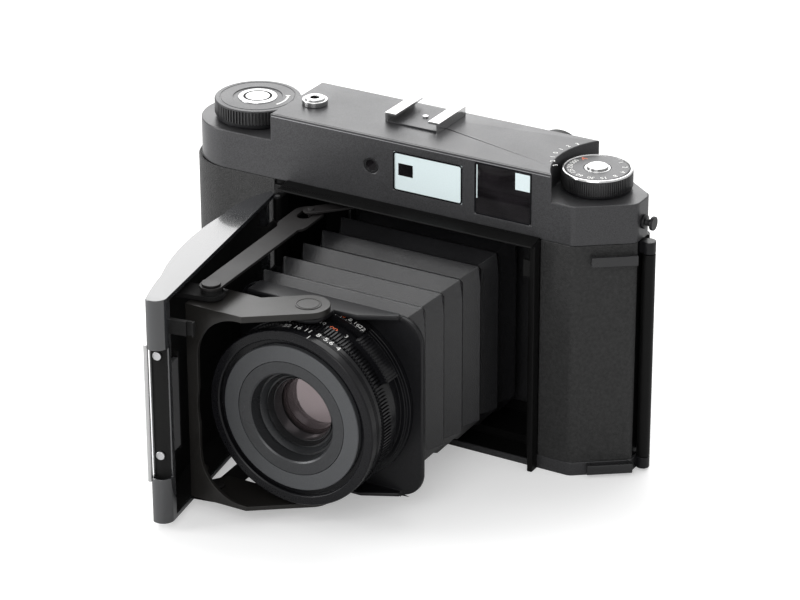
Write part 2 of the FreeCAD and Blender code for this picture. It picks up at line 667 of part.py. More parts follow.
def make_circuit_board():
    board = box(CIRCUIT_LEFT, CIRCUIT_RIGHT, CIRCUIT_FRONT, CIRCUIT_BACK, CIRCUIT_Z0, CIRCUIT_Z1)
    tongue = box(CIRCUIT_LEFT, RELEASE_X + 6, RELEASE_Y - 7.5, CIRCUIT_FRONT + 0.5, CIRCUIT_Z0, CIRCUIT_Z1)
    board = board.fuse(tongue)
    switch = box(RELEASE_X - 3, RELEASE_X + 3, RELEASE_Y - 3, RELEASE_Y + 3,
                 CIRCUIT_Z1, TOP_Z - 6.0 - RELEASE_TRAVEL - GAP)
    chip = box(SHOE_X - 12, SHOE_X, SHOE_Y - 0.5, SHOE_Y + 7.5, CIRCUIT_Z1, CIRCUIT_Z1 + CHIP_RISE)
    near, far = CIRCUIT_LEFT + 3, CIRCUIT_RIGHT - 4
    spots = ((near, CIRCUIT_BACK - 3), (far, CIRCUIT_BACK - 3), (near, RELEASE_Y - 4.5))
    feet = [cyl_z(x, y, CHASSIS_TOP, CIRCUIT_Z0, 2.0) for x, y in spots]
    save("circuit_board", board.fuse([switch, chip] + feet).removeSplitter())


def make_dial():
    base = DECK_Z + GAP
    skirt = cyl_z(DIAL_X, DIAL_Y, base, base + 2.4, DIAL_R)
    cap = cyl_z(DIAL_X, DIAL_Y, base, DIAL_TOP, DIAL_R - 0.3)
    rim = [e for e in cap.Edges if abs(e.BoundBox.ZMin - DIAL_TOP) < 0.01]
    cap = cap.makeChamfer(0.5, rim)
    foot = CHASSIS_TOP + 0.44 * (DECK_Z - CHASSIS_TOP)
    stem = cyl_z(DIAL_X, DIAL_Y, foot, base + 1, SHAFT_R)
    dial = cap.fuse([skirt, stem])
    dial = dial.cut(cyl_z(DIAL_X, DIAL_Y, DIAL_TOP - 3.0, DIAL_TOP + 1, 3.6))
    save("speed_dial", dial.removeSplitter())
    save("dial_button", cyl_z(DIAL_X, DIAL_Y, DIAL_TOP - 1.4, DIAL_TOP + 0.7, 3.6 - FIT))


def make_hot_shoe():
    half = SHOE_INNER / 2
    y0, y1 = SHOE_Y - SHOE_LENGTH / 2, SHOE_Y + SHOE_LENGTH / 2
    floor = TOP_Z + 0.6
    lip_z = floor + SHOE_SLOT
    plate = box(SHOE_X - half - 1.2, SHOE_X + half + 1.2, y0, y1, TOP_Z, floor)
    parts = []
    for side in (-1, 1):
        x0, x1 = sorted((SHOE_X + side * half, SHOE_X + side * (half + 1.2)))
        parts.append(box(x0, x1, y0, y1, TOP_Z, lip_z + 0.9))
        x0, x1 = sorted((SHOE_X + side * SHOE_THROAT / 2, SHOE_X + side * (half + 1.2)))
        parts.append(box(x0, x1, y0, y1, lip_z, lip_z + 0.9))
    shoe = plate.fuse(parts)
    shoe = shoe.cut(cyl_z(SHOE_X, SHOE_Y, TOP_Z - 1, floor + 1, 1.0 + FIT))
    save("hot_shoe", shoe.removeSplitter())
    under = TOP_Z - COVER_WALL - 0.1
    contact = cyl_z(SHOE_X, SHOE_Y, under - 1.2, floor + 0.5, 1.0)
    save("shoe_contact", contact.fuse(cyl_z(SHOE_X, SHOE_Y, under - 1.2, under, 1.9)))


def make_windows():
    for name, window in (("bright_window", BRIGHT_WINDOW), ("finder_window", FINDER_WINDOW)):
        save(name, window_box(window, 0.2, 0.2 + WINDOW_THICK, grow=-FIT))
    x, z, r = ROUND_WINDOW
    save("round_window", cyl_y(x, z, 0.3, 0.3 + WINDOW_THICK, r - FIT))
    tube = cyl_y(EYE_X, EYE_Z, BODY_DEPTH, EYE_END_Y, EYE_R).cut(
        cyl_y(EYE_X, EYE_Z, BODY_DEPTH - 1, EYE_END_Y + 1, EYE_R - 3)
    )
    glass = cyl_y(EYE_X, EYE_Z, BODY_DEPTH + 2, BODY_DEPTH + 4, EYE_R - 3)
    save("eyepiece", tube.fuse(glass))


def make_finder():
    half_x, half_z = FINDER_WINDOW[2] - 2.6, 0.9 * EYE_R
    y0, y1 = COVER_WALL + 4.6, BODY_DEPTH - 4.5
    prism_block = box(EYE_X - half_x, EYE_X + half_x, y0, y1, EYE_Z - half_z, EYE_Z + half_z)
    prism_block = prism_block.cut(cyl_y(EYE_X, EYE_Z, y0 - 1, y0 + 6, 0.74 * EYE_R))
    foot = box(EYE_X - half_x, EYE_X + half_x, y0 + 2, y1 - 2, CHASSIS_TOP, EYE_Z - half_z + 0.1)
    save("finder_block", prism_block.fuse(foot).removeSplitter())
    x, z, r = ROUND_WINDOW
    half_x = r + 0.7
    y0, y1 = COVER_WALL + 2.6, SHOE_Y - 7.5
    right = BRIGHT_WINDOW[0] + BRIGHT_WINDOW[2] + 4.5
    top = CHASSIS_TOP + CHIP_RISE
    carrier = box(x - half_x - 1, right, y0, y1, CHASSIS_TOP, top)
    mirror = box(x - half_x, x + half_x, y0 + 1, y1 - 3, top, z + 0.17 * COVER_RISE)
    lens = box(BRIGHT_WINDOW[0] + 0.7, BRIGHT_WINDOW[0] + 2.7, y0 + 1, y1 - 2, top, z + 0.21 * COVER_RISE)
    save("rangefinder_block", carrier.fuse([mirror, lens]).removeSplitter())


def make_strap_loops():
    # Flat bars that bridge the right front corner above and below the leatherette.
    run = V(CORNER_X, CORNER_Y, 0)
    length = run.Length
    run.normalize()
    out = V(run.y, -run.x, 0)
    start = V(BODY_RIGHT - CORNER_X, 0, 0)
    loops = []
    for z0 in (1.2, COVER_Z - 6.8):
        z1 = z0 + 3.4
        a = start + run * (length * 0.28)
        b = start + run * (length * 1.02)
        foot_in = 0.0
        outer = [a + out * foot_in, a + out * 2.6, b + out * 2.6, b + out * foot_in]
        inner = [a + run * 1.3 + out * (foot_in - 1), a + run * 1.3 + out * 1.4,
                 b - run * 1.3 + out * 1.4, b - run * 1.3 + out * (foot_in - 1)]
        bar = prism(lines(outer), z0, z1).cut(prism(lines(inner), z0 - 1, z1 + 1))
        loops.append(bar.cut(body_prism(z0 - 1, z1 + 1)))
    save("strap_loops", *loops)


def door_outline():
    # Outside of the door's bulge from the hinge to the free end, as three arcs.
    a = door_point(0.4, 1.6)
    b = door_point(0.264 * DOOR_RIM, DOOR_BULGE - 2.9)
    c = door_point(0.842 * DOOR_RIM, DOOR_BULGE - 3.1)
    d = door_point(DOOR_LENGTH - 0.7, 6.4)
    e = door_point(DOOR_RIM, 0)
    f = door_point(2.6, 0)
    return [
        Part.Arc(a, door_point(0.0974 * DOOR_RIM, DOOR_BULGE - 5.7), b).toShape(),
        Part.Arc(b, door_point(0.552 * DOOR_RIM, DOOR_BULGE), c).toShape(),
        Part.Arc(c, door_point(DOOR_RIM - 4.9, DOOR_BULGE - 4.2), d).toShape(),
        Part.Arc(d, door_point(DOOR_LENGTH, 5.0), e).toShape(),
        Part.LineSegment(e, f).toShape(),
        Part.LineSegment(f, a).toShape(),
    ]


ROD_Z0 = 19.0
ROD_Z1 = 65.8
ROD_ALONG = DOOR_LENGTH - 1.1
ROD_DEEP = 7.0
ROD_R = 0.8
KNUCKLE_CLEAR = 2.6


def make_door():
    face = Part.Face(Part.Wire(door_outline()))
    z0, z1 = DOOR_Z0, DOOR_Z1
    outer = prism(face, z0, z1)
    inner_face = face.makeOffset2D(-DOOR_SKIN)
    frame_face = face.makeOffset2D(-(DOOR_SKIN + DOOR_FRAME))
    rim_off = door_box(-5, DOOR_LENGTH + 5, -30, 0.02, 0, 100)
    open_in = door_box(KNUCKLE_CLEAR, DOOR_RIM - 1.5, -5, 3.0, z0 + 1.6, z1 - 1.6)
    skin = outer.cut(prism(inner_face, z0 + DOOR_SKIN, z1 - DOOR_SKIN)).cut(open_in)
    notch = door_box(DOOR_RIM + 0.6, DOOR_LENGTH + 3, -3, DOOR_BULGE, ROD_Z0, ROD_Z1)
    skin = skin.cut(notch).cut(rim_off)
    knuckle_hole = cyl_z(HINGE_X, HINGE_Y, 0, 100, KNUCKLE_R + GAP)
    skin = skin.cut(knuckle_hole)
    frame = prism(inner_face, z0 + DOOR_SKIN, z1 - DOOR_SKIN)
    frame = frame.cut(prism(frame_face, z0 + DOOR_SKIN + DOOR_FRAME, z1 - DOOR_SKIN - DOOR_FRAME))
    frame = frame.cut(open_in).cut(knuckle_hole)
    frame = frame.cut(door_box(-5, 7.0, -5, DOOR_BULGE, z0, z1))
    stop = door_box(DOOR_RIM - 1.2, DOOR_RIM + 0.4, 0.2, 6.8, z0 + DOOR_SKIN, z1 - DOOR_SKIN)
    frame = frame.cut(door_box(DOOR_RIM + 0.4, DOOR_LENGTH + 5, -5, DOOR_BULGE, ROD_Z0 - 1, ROD_Z1 + 1))
    knuckles = []
    for k0, k1 in knuckle_spans()[1::2]:
        barrel = cyl_z(HINGE_X, HINGE_Y, k0, k1, KNUCKLE_R)
        strap = door_box(0.6, 8.2, 0.2, 1.5, k0, k1)
        hook = door_box(6.9, 8.2, 0.2, 6.0, k0, k1).common(prism(inner_face, k0, k1))
        knuckles.append(barrel.fuse([strap, hook]))
    frame = frame.fuse(stop).fuse(knuckles)
    skin = skin.cut(door_box(-3, 8.4, -1, 2.4, z0 + 1.8, z1 - 1.8))
    frame = frame.cut(cyl_z(HINGE_X, HINGE_Y, 0, 100, HINGE_PIN_R + FIT))
    shell = prism(inner_face, 0, 100)
    ear = arm_ear(*EAR_TOP, shell)
    boss = cyl_z(*ARM_PIVOT, EAR_TOP[1], STRUT_TOP[0] - 0.1, 3.4)
    tongue = arm_ear(z0 + DOOR_SKIN, z0 + DOOR_SKIN + DOOR_FRAME / 2, shell)
    frame = frame.fuse([ear, boss, tongue])
    carrier = door_box(PRESS_A0 - 1.6, PRESS_A1 + 1.6, PRESS_DEEP + 2.0 + PRESS_TRAVEL, DOOR_BULGE,
                       PRESS_Z0 - 1.6, PRESS_Z1 + 1.6).common(shell)
    cheek = door_box(PRESS_A0 - 1.6, PRESS_A0 - GAP, PRESS_DEEP + 0.4, PRESS_DEEP + 4.4,
                     PRESS_Z0 - 1.6, PRESS_Z1 + 1.6).common(shell)
    frame = frame.fuse([carrier, cheek])
    bite = door_box(STRIKER_A0 + 0.9, STRIKER_A1 + 1, -CATCH_Y1 - 5.3, -CATCH_Y0 - 4.7,
                    CATCH_Z0, CATCH_Z1)
    frame = frame.fuse(striker().cut(bite))
    for pin in pivot_pins():
        frame = frame.cut(pin)
    rod_hole = door_rod_shape(FIT)
    skin = skin.cut(rod_hole)
    frame = frame.cut(rod_hole)
    save("door_skin", skin.cut(frame).removeSplitter())
    save("door_frame", frame.removeSplitter())
    save("arm_pivots", *pivot_pins())


EAR_TOP = (77.0, 78.6)
EAR_R = 4.4
STRIKER_REACH = 8.4


def striker(grow=0.0):
    # Blade on the door's free end that the catch holds.
    return door_box(STRIKER_A0 - grow, STRIKER_A1 + grow, -STRIKER_REACH - grow, 1.0,
                    CATCH_Z0 + 0.5 - grow, CATCH_Z1 - 0.5 + grow)


def arm_ear(z0, z1, shell):
    # Tongue that stands in from the door's wall and carries the arm's pivot.
    t = math.radians(OPEN_ANGLE)
    dx, dy = ARM_PIVOT[0] - HINGE_X, ARM_PIVOT[1] - HINGE_Y
    along = dx * math.sin(t) - dy * math.cos(t)
    inward = dx * math.cos(t) + dy * math.sin(t)
    body = door_box(along - EAR_R, along + EAR_R, -inward, 2.0, z0, z1)
    root = door_box(along - EAR_R, along + EAR_R, 1.5, DOOR_BULGE, z0, z1).common(shell)
    return body.fuse([root, cyl_z(ARM_PIVOT[0], ARM_PIVOT[1], z0, z1, EAR_R)])


def pivot_pins():
    x, y = ARM_PIVOT
    top = cyl_z(x, y, ARM_TOP[0] - 0.9, STRUT_TOP[1] + 0.8, PIVOT_R)
    top = top.fuse([cyl_z(x, y, STRUT_TOP[1] + 0.2, STRUT_TOP[1] + 0.8, 3.2),
                    cyl_z(x, y, ARM_TOP[0] - 0.9, ARM_TOP[0] - 0.2, 2.6)])
    bottom = cyl_z(x, y, DOOR_Z0 + DOOR_SKIN - 0.1, ARM_BOTTOM[1] + 0.9, PIVOT_R)
    bottom = bottom.fuse(cyl_z(x, y, ARM_BOTTOM[1] + 0.2, ARM_BOTTOM[1] + 0.9, 2.6))
    return [top, bottom]


PRESS_A0 = DOOR_RIM - 9.8
PRESS_A1 = DOOR_RIM - 3.8
PRESS_Z0 = 25.5
PRESS_Z1 = 57.5
PRESS_DEEP = 1.6
PRESS_TRAVEL = 1.0


def make_press_bar():
    bar = door_box(PRESS_A0, PRESS_A1, PRESS_DEEP, PRESS_DEEP + 1.8, PRESS_Z0, PRESS_Z1)
    save("press_bar", bar)


def door_rod_shape(grow=0.0):
    p = door_point(ROD_ALONG, ROD_DEEP)
    return cyl_z(p.x, p.y, ROD_Z0 - 1.4, ROD_Z1 + 1.4, ROD_R + grow)


def make_door_rod():
    save("door_rod", door_rod_shape())
    screws = []
    for z in (26.2, 62.4):
        start = door_point(DOOR_RIM + 0.4, 4.2, z)
        out = door_point(DOOR_RIM + 1.4, 4.2, z) - start
        screws.append(Part.makeCylinder(1.5, 0.8, start, out))
    save("door_screws", *screws)


def make_hinge_pin():
    spans = knuckle_spans()
    save("hinge_pin", cyl_z(HINGE_X, HINGE_Y, spans[0][0] - 0.2, spans[-1][1] + 0.2, HINGE_PIN_R))


def arm_plan(z0, z1):
    # Flat end of the swing arm: square at the outer corner, round at the board's pivot.
    px, py = BOARD_PIVOT
    r, side = ARM_NOSE_R, ARM_NOSE_SIDE
    dx, dy = px - ARM_BEND, py - ARM_FRONT_Y
    turn = math.atan2(dy, dx) - math.asin(r / math.hypot(dx, dy))
    foot = V(px + r * math.sin(turn), py - r * math.cos(turn), 0)
    back = V(px - side, py + math.sqrt(r * r - side * side), 0)
    far = V(px + r * math.cos(math.radians(40)), py + r * math.sin(math.radians(40)), 0)
    points = [back, V(ARM_BEND - 2.2, ARM_BACK_Y, 0), V(ARM_LEFT + 4.6, ARM_BACK_Y, 0),
              V(ARM_LEFT, ARM_BACK_Y - 6.6, 0), V(ARM_LEFT, ARM_FRONT_Y, 0),
              V(ARM_BEND, ARM_FRONT_Y, 0), foot]
    edges = lines(points, closed=False) + [Part.Arc(foot, far, back).toShape()]
    return prism(edges, z0, z1)


def make_swing_arm():
    top = arm_plan(*ARM_TOP)
    bottom = arm_plan(*ARM_BOTTOM)
    panel = box(ARM_LEFT, ARM_BEND, ARM_FRONT_Y, ARM_FRONT_Y + ARM_PANEL, ARM_BOTTOM[0], ARM_TOP[1])
    low, high = ARM_BOTTOM[1] + 0.2, ARM_TOP[0]
    cut = rounded_plate(ARM_OPEN_LEFT + 40, (high + low) / 2, 40, (high - low) / 2, ARM_OPEN_CORNER,
                        ARM_FRONT_Y - 2, ARM_FRONT_Y + 4)
    relief = lens_disc(ARM_FRONT_Y - 2, ARM_FRONT_Y + 4, RIM_R + ARM_RELIEF)
    arm = top.fuse([bottom, panel.cut(cut).cut(relief)])
    back = ARM_BACK_Y - 6.6
    side = box(ARM_LEFT, ARM_LEFT + ARM_SIDE, ARM_FRONT_Y, back, ARM_BOTTOM[0], ARM_TOP[1])
    side = side.cut(cyl_x(back, LENS_Z, ARM_LEFT - 5, ARM_LEFT + 5, 7.5))
    side = side.cut(box(ARM_LEFT - 5, ARM_LEFT + 5, ARM_FRONT_Y + 3.0, back + 5,
                        ARM_BOTTOM[1] + 6, ARM_TOP[0] - 6))
    arm = arm.fuse(side).cut(striker(GAP))
    for x, y in (ARM_PIVOT, BOARD_PIVOT):
        arm = arm.cut(cyl_z(x, y, 0, 100, PIVOT_R + FIT))
    save("swing_arm", arm.removeSplitter())


def strut(z0, z1):
    # Flat link from the arm's pivot to a wide end whose slot takes the pin of the body link.
    p, q = ARM_PIVOT, LINK_PIN
    reach = V(q[0] - p[0], q[1] - p[1], 0)
    length = reach.Length
    body = capsule((0, 0), (length, 0), STRUT_HALF, z0, z1)
    wide_start = length + STRUT_WIDE_HALF - STRUT_WIDE_LENGTH
    wide = capsule((wide_start, 0), (length, 0), STRUT_WIDE_HALF, z0, z1)
    slot = capsule((SLOT_NEAR, 0), (SLOT_FAR, 0), SLOT_HALF, z0 - 1, z1 + 1)
    body = body.fuse(wide).cut(slot).cut(cyl_z(0, 0, z0 - 1, z1 + 1, PIVOT_R + FIT))
    body.rotate(V(0, 0, 0), V(0, 0, 1), math.degrees(math.atan2(reach.y, reach.x)) + STRUT_TRIM)
    body.translate(V(p[0], p[1], 0))
    return body.removeSplitter()


def make_struts():
    save("struts", strut(*STRUT_TOP), strut(*STRUT_BOTTOM))


def make_strut_links():
    # Short links on posts of the chassis; a pin in the free end of each rides the strut's slot.
    x, y = LINK_PIN
    pins = (cyl_z(x, y, STRUT_TOP[0] - 0.3, LINK_TOP[1] + 0.6, LINK_PIN_R),
            cyl_z(x, y, LINK_BOTTOM[0], STRUT_BOTTOM[1] + 0.3, LINK_PIN_R))
    links = []
    for (z0, z1), pin in zip((LINK_TOP, LINK_BOTTOM), pins):
        link = capsule(LINK_PIN, LINK_POST, LINK_HALF, z0, z1)
        link = link.cut(cyl_z(*LINK_POST, z0 - 1, z1 + 1, LINK_POST_R + FIT))
        links.append(link.fuse(pin).removeSplitter())
    save("strut_links", *links)


def make_standard():
    front, back = BOARD_Y, BOARD_Y + BOARD_THICK
    board = rounded_plate(LENS_X, LENS_Z, BOARD_HALF_X, BOARD_HALF_Z, BOARD_CORNER, front, back)
    px, py = BOARD_PIVOT
    lip, rear = py + 5.4, front + 0.5
    plan = [V(px - SHELF_HALF, lip, 0), V(px + SHELF_HALF - 12, lip, 0), V(px + SHELF_HALF, front - 1.5, 0),
            V(px + SHELF_HALF, rear, 0), V(px - SHELF_HALF, rear, 0)]
    for z0, z1 in ((ARM_TOP[0] - 2.3, ARM_TOP[0] - 0.5), (ARM_BOTTOM[1] + 0.5, ARM_BOTTOM[1] + 1.8)):
        nose = capsule((px, py), (px, front), 6.2, z0, z1)
        nose = nose.common(box(-100, 100, -100, rear, 0, 100))
        board = board.fuse([prism(lines(plan), z0, z1), nose])
    board = board.cut(lens_disc(front - 1, back + 1, GUIDE_R))
    board = board.cut(lens_disc(-90, front, FLANGE_R + GAP))
    board = board.cut(cyl_z(px, py, 0, 100, BOARD_SCREW_R))
    save("lens_board", board.removeSplitter())
    top = cyl_z(px, py, ARM_TOP[0] - 2.3, ARM_TOP[0] - 0.4, BOARD_SCREW_R)
    top = top.fuse([cyl_z(px, py, ARM_TOP[0] - 0.4, ARM_TOP[1] + 0.2, PIVOT_R),
                    cyl_z(px, py, ARM_TOP[1] + 0.2, ARM_TOP[1] + 1.0, BOARD_HEAD_R)])
    bottom = cyl_z(px, py, ARM_BOTTOM[1] + 0.4, ARM_BOTTOM[1] + 1.8, BOARD_SCREW_R)
    bottom = bottom.fuse([cyl_z(px, py, ARM_BOTTOM[0] - 0.1, ARM_BOTTOM[1] + 0.4, PIVOT_R),
                          cyl_z(px, py, ARM_BOTTOM[0] - 0.35, ARM_BOTTOM[0] - 0.1, BOARD_HEAD_R)])
    save("board_pivots", top, bottom)


def make_lens_mount():
    # Fixed on the board: outer housing, flange rings and the guide that the lens slides in.
    housing = lens_ring(FOCUS_BACK_Y + LENS_RUN, BOARD_Y, HOUSING_R, GUIDE_R)
    flange = lens_ring(BOARD_Y - 2.2, BOARD_Y, FLANGE_R, GUIDE_R)
    step = lens_ring(BOARD_Y - 3.6, BOARD_Y, HOUSING_R + 1.6, GUIDE_R)
    guide = lens_ring(APERTURE_BACK_Y + 1.0, REAR_Y, GUIDE_R, UNIT_R + FIT)
    save("lens_mount", housing.fuse([flange, step, guide]).removeSplitter())
    window = box(LENS_X - 9.5, LENS_X + 6.5, FOCUS_BACK_Y + 0.5, BOARD_Y - 3.7,
                 LENS_Z + HOUSING_R - 1.5, LENS_Z + FOCUS_R - 0.2)
    save("depth_scale", window.cut(lens_disc(-90, -50, HOUSING_R)))


def make_focus_ring():
    focus = lens_ring(APERTURE_BACK_Y + LENS_RUN, FOCUS_BACK_Y, FOCUS_R, GUIDE_R + FIT)
    tab = lens_ring(FOCUS_BACK_Y - 5.2, FOCUS_BACK_Y + 1.2, TAB_R, FOCUS_R - 1)
    reach = 2 * FOCUS_R
    wedge = [V(LENS_X, 0, LENS_Z)]
    for degrees in (TAB_FROM, TAB_TO):
        t = math.radians(degrees)
        wedge.append(V(LENS_X + reach * math.cos(t), 0, LENS_Z + reach * math.sin(t)))
    sector = Part.Face(Part.Wire(lines(wedge))).extrude(V(0, -100, 0))
    save("focus_ring", focus.fuse(tab.common(sector)).removeSplitter())
    save("aperture_ring", lens_ring(RIM_BACK_Y + LENS_RUN, APERTURE_BACK_Y, APERTURE_R, HOOD_R + FIT))


def make_lens_unit():
    # Slides in the guide as the focus ring turns: rim, filter collar, hood, shutter and glass.
    seat_r = GLASS_R - GLASS_SEAT
    rim = lens_ring(RIM_FRONT_Y, RIM_BACK_Y, RIM_R, THREAD_R)
    face = lens_disc(FACE_Y, RIM_BACK_Y, FACE_R)
    web = lens_disc(RIM_FRONT_Y + THREAD_DEPTH, RIM_BACK_Y, THREAD_R + 0.5)
    hood = lens_disc(FACE_Y, UNIT_FRONT_Y, HOOD_R)
    cone = Part.makeCone(HOOD_MOUTH_R, seat_r, GLASS_Y - FACE_Y, V(LENS_X, FACE_Y, LENS_Z), V(0, 1, 0))
    save("front_cell", rim.fuse([face, web, hood]).cut(cone).removeSplitter())
    save("front_glass", front_glass())
    unit = lens_ring(UNIT_FRONT_Y, REAR_Y, UNIT_R, REAR_R)
    shelf = lens_ring(UNIT_FRONT_Y, GLASS_Y + GLASS_THICK + 1.0, REAR_R + 0.5, seat_r)
    shelf = shelf.cut(cone).cut(lens_disc(GLASS_Y, GLASS_Y + GLASS_THICK, GLASS_R + 0.02))
    save("shutter_unit", unit.fuse(shelf).removeSplitter())
    save("rear_glass", lens_disc(REAR_Y - 4.0, REAR_Y - 0.6, REAR_R))
    save("shutter_blades", *[blade(i) for i in range(BLADE_COUNT)])


BLADE_COUNT = 5


def front_glass():
    # Disc with a gently domed front, seated in the front cell.
    rise = 1.6
    bulge = (GLASS_R ** 2 + rise ** 2) / (2 * rise)
    disc = lens_disc(GLASS_Y, GLASS_Y + GLASS_THICK, GLASS_R)
    ball = Part.makeSphere(bulge, V(LENS_X, GLASS_Y + bulge, LENS_Z))
    return disc.common(ball)


BLADES_Y = GLASS_Y + GLASS_THICK + 3.0


def blade(i):
    # One of five leaves that close over each other, each a little further back.
    y = BLADES_Y + i * 0.35
    leaf = Part.makeCylinder(REAR_R - 1.0, 0.25, V(LENS_X, y, LENS_Z), V(0, 1, 0), 100)
    leaf.rotate(V(LENS_X, y, LENS_Z), V(0, 1, 0), 360 / BLADE_COUNT * i)
    return leaf


def rectangle(y, half_x, half_z):
    xs, zs = (LENS_X - half_x, LENS_X + half_x), (LENS_Z - half_z, LENS_Z + half_z)
    points = [V(xs[0], y, zs[0]), V(xs[1], y, zs[0]), V(xs[1], y, zs[1]), V(xs[0], y, zs[1])]
    return Part.Wire(lines(points))


def make_bellows():
    y0, y1 = BOARD_Y + BOARD_THICK, GATE_FRONT_Y
    count = 2 * BELLOWS_FOLDS
    outer, inner = [], []
    for i in range(count + 1):
        y = y0 + (y1 - y0) * i / count
        drop = BELLOWS_FOLD_DEEP if i % 2 == 0 else 0.0
        outer.append(rectangle(y, BELLOWS_HALF_X - drop, BELLOWS_HALF_Z - drop))
        inner.append(rectangle(y, BELLOWS_HALF_X - drop - BELLOWS_WALL, BELLOWS_HALF_Z - drop - BELLOWS_WALL))
    shell = Part.makeLoft(outer, True, True).cut(Part.makeLoft(inner, True, True))
    save("bellows", shell)


def make_batteries():
    cells = [cyl_z(CELL_X, CELL_Y, 2.6 + i * BATTERY_H, 2.6 + (i + 1) * BATTERY_H - 0.1, BATTERY_R)
             for i in range(2)]
    save("batteries", *cells)
    cap = cyl_z(CELL_X, CELL_Y, 0.1, BASE_FLOOR, BATTERY_R + 1.2 - FIT)
    cap = cap.fuse(cyl_z(CELL_X, CELL_Y, BASE_FLOOR - 0.1, 2.4, BATTERY_R + 0.1))
    cap = cap.cut(box(CELL_X - 3.6, CELL_X + 3.6, CELL_Y - 0.6, CELL_Y + 0.6, -1, 0.9))
    save("battery_cap", cap)


def make_door_catch():
    hook = box(CATCH_TIP_X, CATCH_END_X, CATCH_Y0, CATCH_Y1, CATCH_Z0, CATCH_Z1)
    save("door_catch", hook)
    button = cyl_z(BUTTON_X, BUTTON_Y, 0.3, 3.4, 2.7 - FIT)
    save("door_button", button)


def main():
    os.makedirs("parts", exist_ok=True)
    make_top_cover()
    make_strap_lugs()
    make_chassis()
    make_base_plate()
    make_tripod_socket()
    make_front_frame()
    make_grips()
    make_back_bar()
    make_back_door()
    make_pressure_plate()
    make_back_latch()
    make_spools()
    make_spool_pins()
    make_rollers()
    make_knob()
    make_release()
    make_circuit_board()
    make_dial()
    make_hot_shoe()
    make_windows()
    make_finder()
    make_strap_loops()
    make_door()
    make_press_bar()
    make_door_rod()
    make_hinge_pin()
    make_swing_arm()
    make_struts()
    make_strut_links()
    make_standard()
    make_lens_mount()
    make_focus_ring()
    make_lens_unit()
    make_bellows()
    make_batteries()
    make_door_catch()


main()
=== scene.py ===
# %% [markdown]
# # A medium format folding camera
# The camera stands open: the front door has swung out to the left, the lens stands on its
# swing arm, and the bellows is stretched between lens and body. The exact frame of the
# camera, with every joint, was built as CAD solids. This script dresses that frame: it gives
# each solid its finish, replaces plain solids by finer pieces, and lights the whole.

# %% Load the CAD frame
import json
import math

import bmesh
import bpy
from mathutils import Matrix, Vector

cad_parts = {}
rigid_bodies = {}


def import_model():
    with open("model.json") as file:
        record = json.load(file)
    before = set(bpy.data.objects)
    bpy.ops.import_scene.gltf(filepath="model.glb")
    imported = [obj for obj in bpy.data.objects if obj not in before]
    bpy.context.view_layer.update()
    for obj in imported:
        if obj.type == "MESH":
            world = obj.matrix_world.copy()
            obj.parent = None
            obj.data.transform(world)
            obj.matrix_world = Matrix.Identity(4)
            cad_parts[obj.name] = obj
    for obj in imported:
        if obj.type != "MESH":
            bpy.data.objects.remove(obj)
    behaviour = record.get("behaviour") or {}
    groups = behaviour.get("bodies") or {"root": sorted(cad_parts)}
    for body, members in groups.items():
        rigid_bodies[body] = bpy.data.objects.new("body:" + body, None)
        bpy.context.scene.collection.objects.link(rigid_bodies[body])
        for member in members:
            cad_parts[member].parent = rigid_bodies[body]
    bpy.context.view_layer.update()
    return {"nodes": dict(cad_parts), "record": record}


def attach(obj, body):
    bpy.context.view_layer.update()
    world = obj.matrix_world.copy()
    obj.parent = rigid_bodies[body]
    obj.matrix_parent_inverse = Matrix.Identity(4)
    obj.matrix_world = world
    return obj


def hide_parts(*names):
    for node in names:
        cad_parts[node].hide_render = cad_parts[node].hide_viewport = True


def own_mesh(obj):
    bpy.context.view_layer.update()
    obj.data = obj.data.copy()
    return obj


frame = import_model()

nodes = frame["nodes"]

# %% [markdown]
# ## Where things are
# The camera was drawn in millimetres, from the front face of its top cover, while the frame's
# origin is the tripod socket, 17 mm further back. One small function turns a place on the
# drawing into Blender's metres, so the numbers below can be read off with a ruler.

# %% Places on the drawing
MM = 0.001
SOCKET_BACK = 17.0
LENS_X = 4.3
LENS_Z = 40.3


def place(x, y, z):
    return Vector((x, y - SOCKET_BACK, z)) * MM


print("lens axis at", [round(v, 4) for v in place(LENS_X, 0, LENS_Z)])

# %% [markdown]
# ## The viewpoint
# A long lens a little over a metre away, 30 degrees round to the camera's left hand side and
# 25 degrees up, keeps the verticals nearly parallel as in a catalogue picture. The viewing
# direction is worked out from these two angles with sines and cosines.

# %% The viewing camera
AZIMUTH = math.radians(30.2)
ELEVATION = math.radians(25.0)
ROLL = math.radians(-0.2)
DISTANCE = 1163.2
FOCAL_PIXELS = 3400
PICTURE_WIDTH = 800
SENSOR = 36.0

right = Vector((math.cos(AZIMUTH), math.sin(AZIMUTH), 0))
back = Vector((math.sin(AZIMUTH) * math.cos(ELEVATION), -math.cos(AZIMUTH) * math.cos(ELEVATION),
               math.sin(ELEVATION)))
up = back.cross(right)
stand = place(0, 0, 50) + (back * DISTANCE + right * 0.5 + up * 0.5) * MM
turn = Matrix((right, up, back)).transposed() @ Matrix.Rotation(ROLL, 3, "Z")

bpy.ops.object.camera_add(location=stand, rotation=turn.to_euler())
viewer = bpy.context.object
viewer.name = "viewer"
viewer.data.sensor_width = SENSOR
viewer.data.lens = FOCAL_PIXELS * SENSOR / PICTURE_WIDTH
viewer.data.clip_start = 0.05
bpy.context.scene.camera = viewer
bpy.context.scene.view_settings.view_transform = "Standard"
print("lens", round(viewer.data.lens, 1), "mm at", [round(v, 3) for v in stand])

# %% [markdown]
# ## Light
# Black satin and leather show their shape by what they mirror, so the light comes from wide
# soft panels. Two hang overhead and behind and brighten every upward face. A tall one stands low
# at the front left for the door, the windows and the cover's front, and a weaker one at the
# front right. Each panel is an area lamp turned towards the camera body.

# %% Soft panels


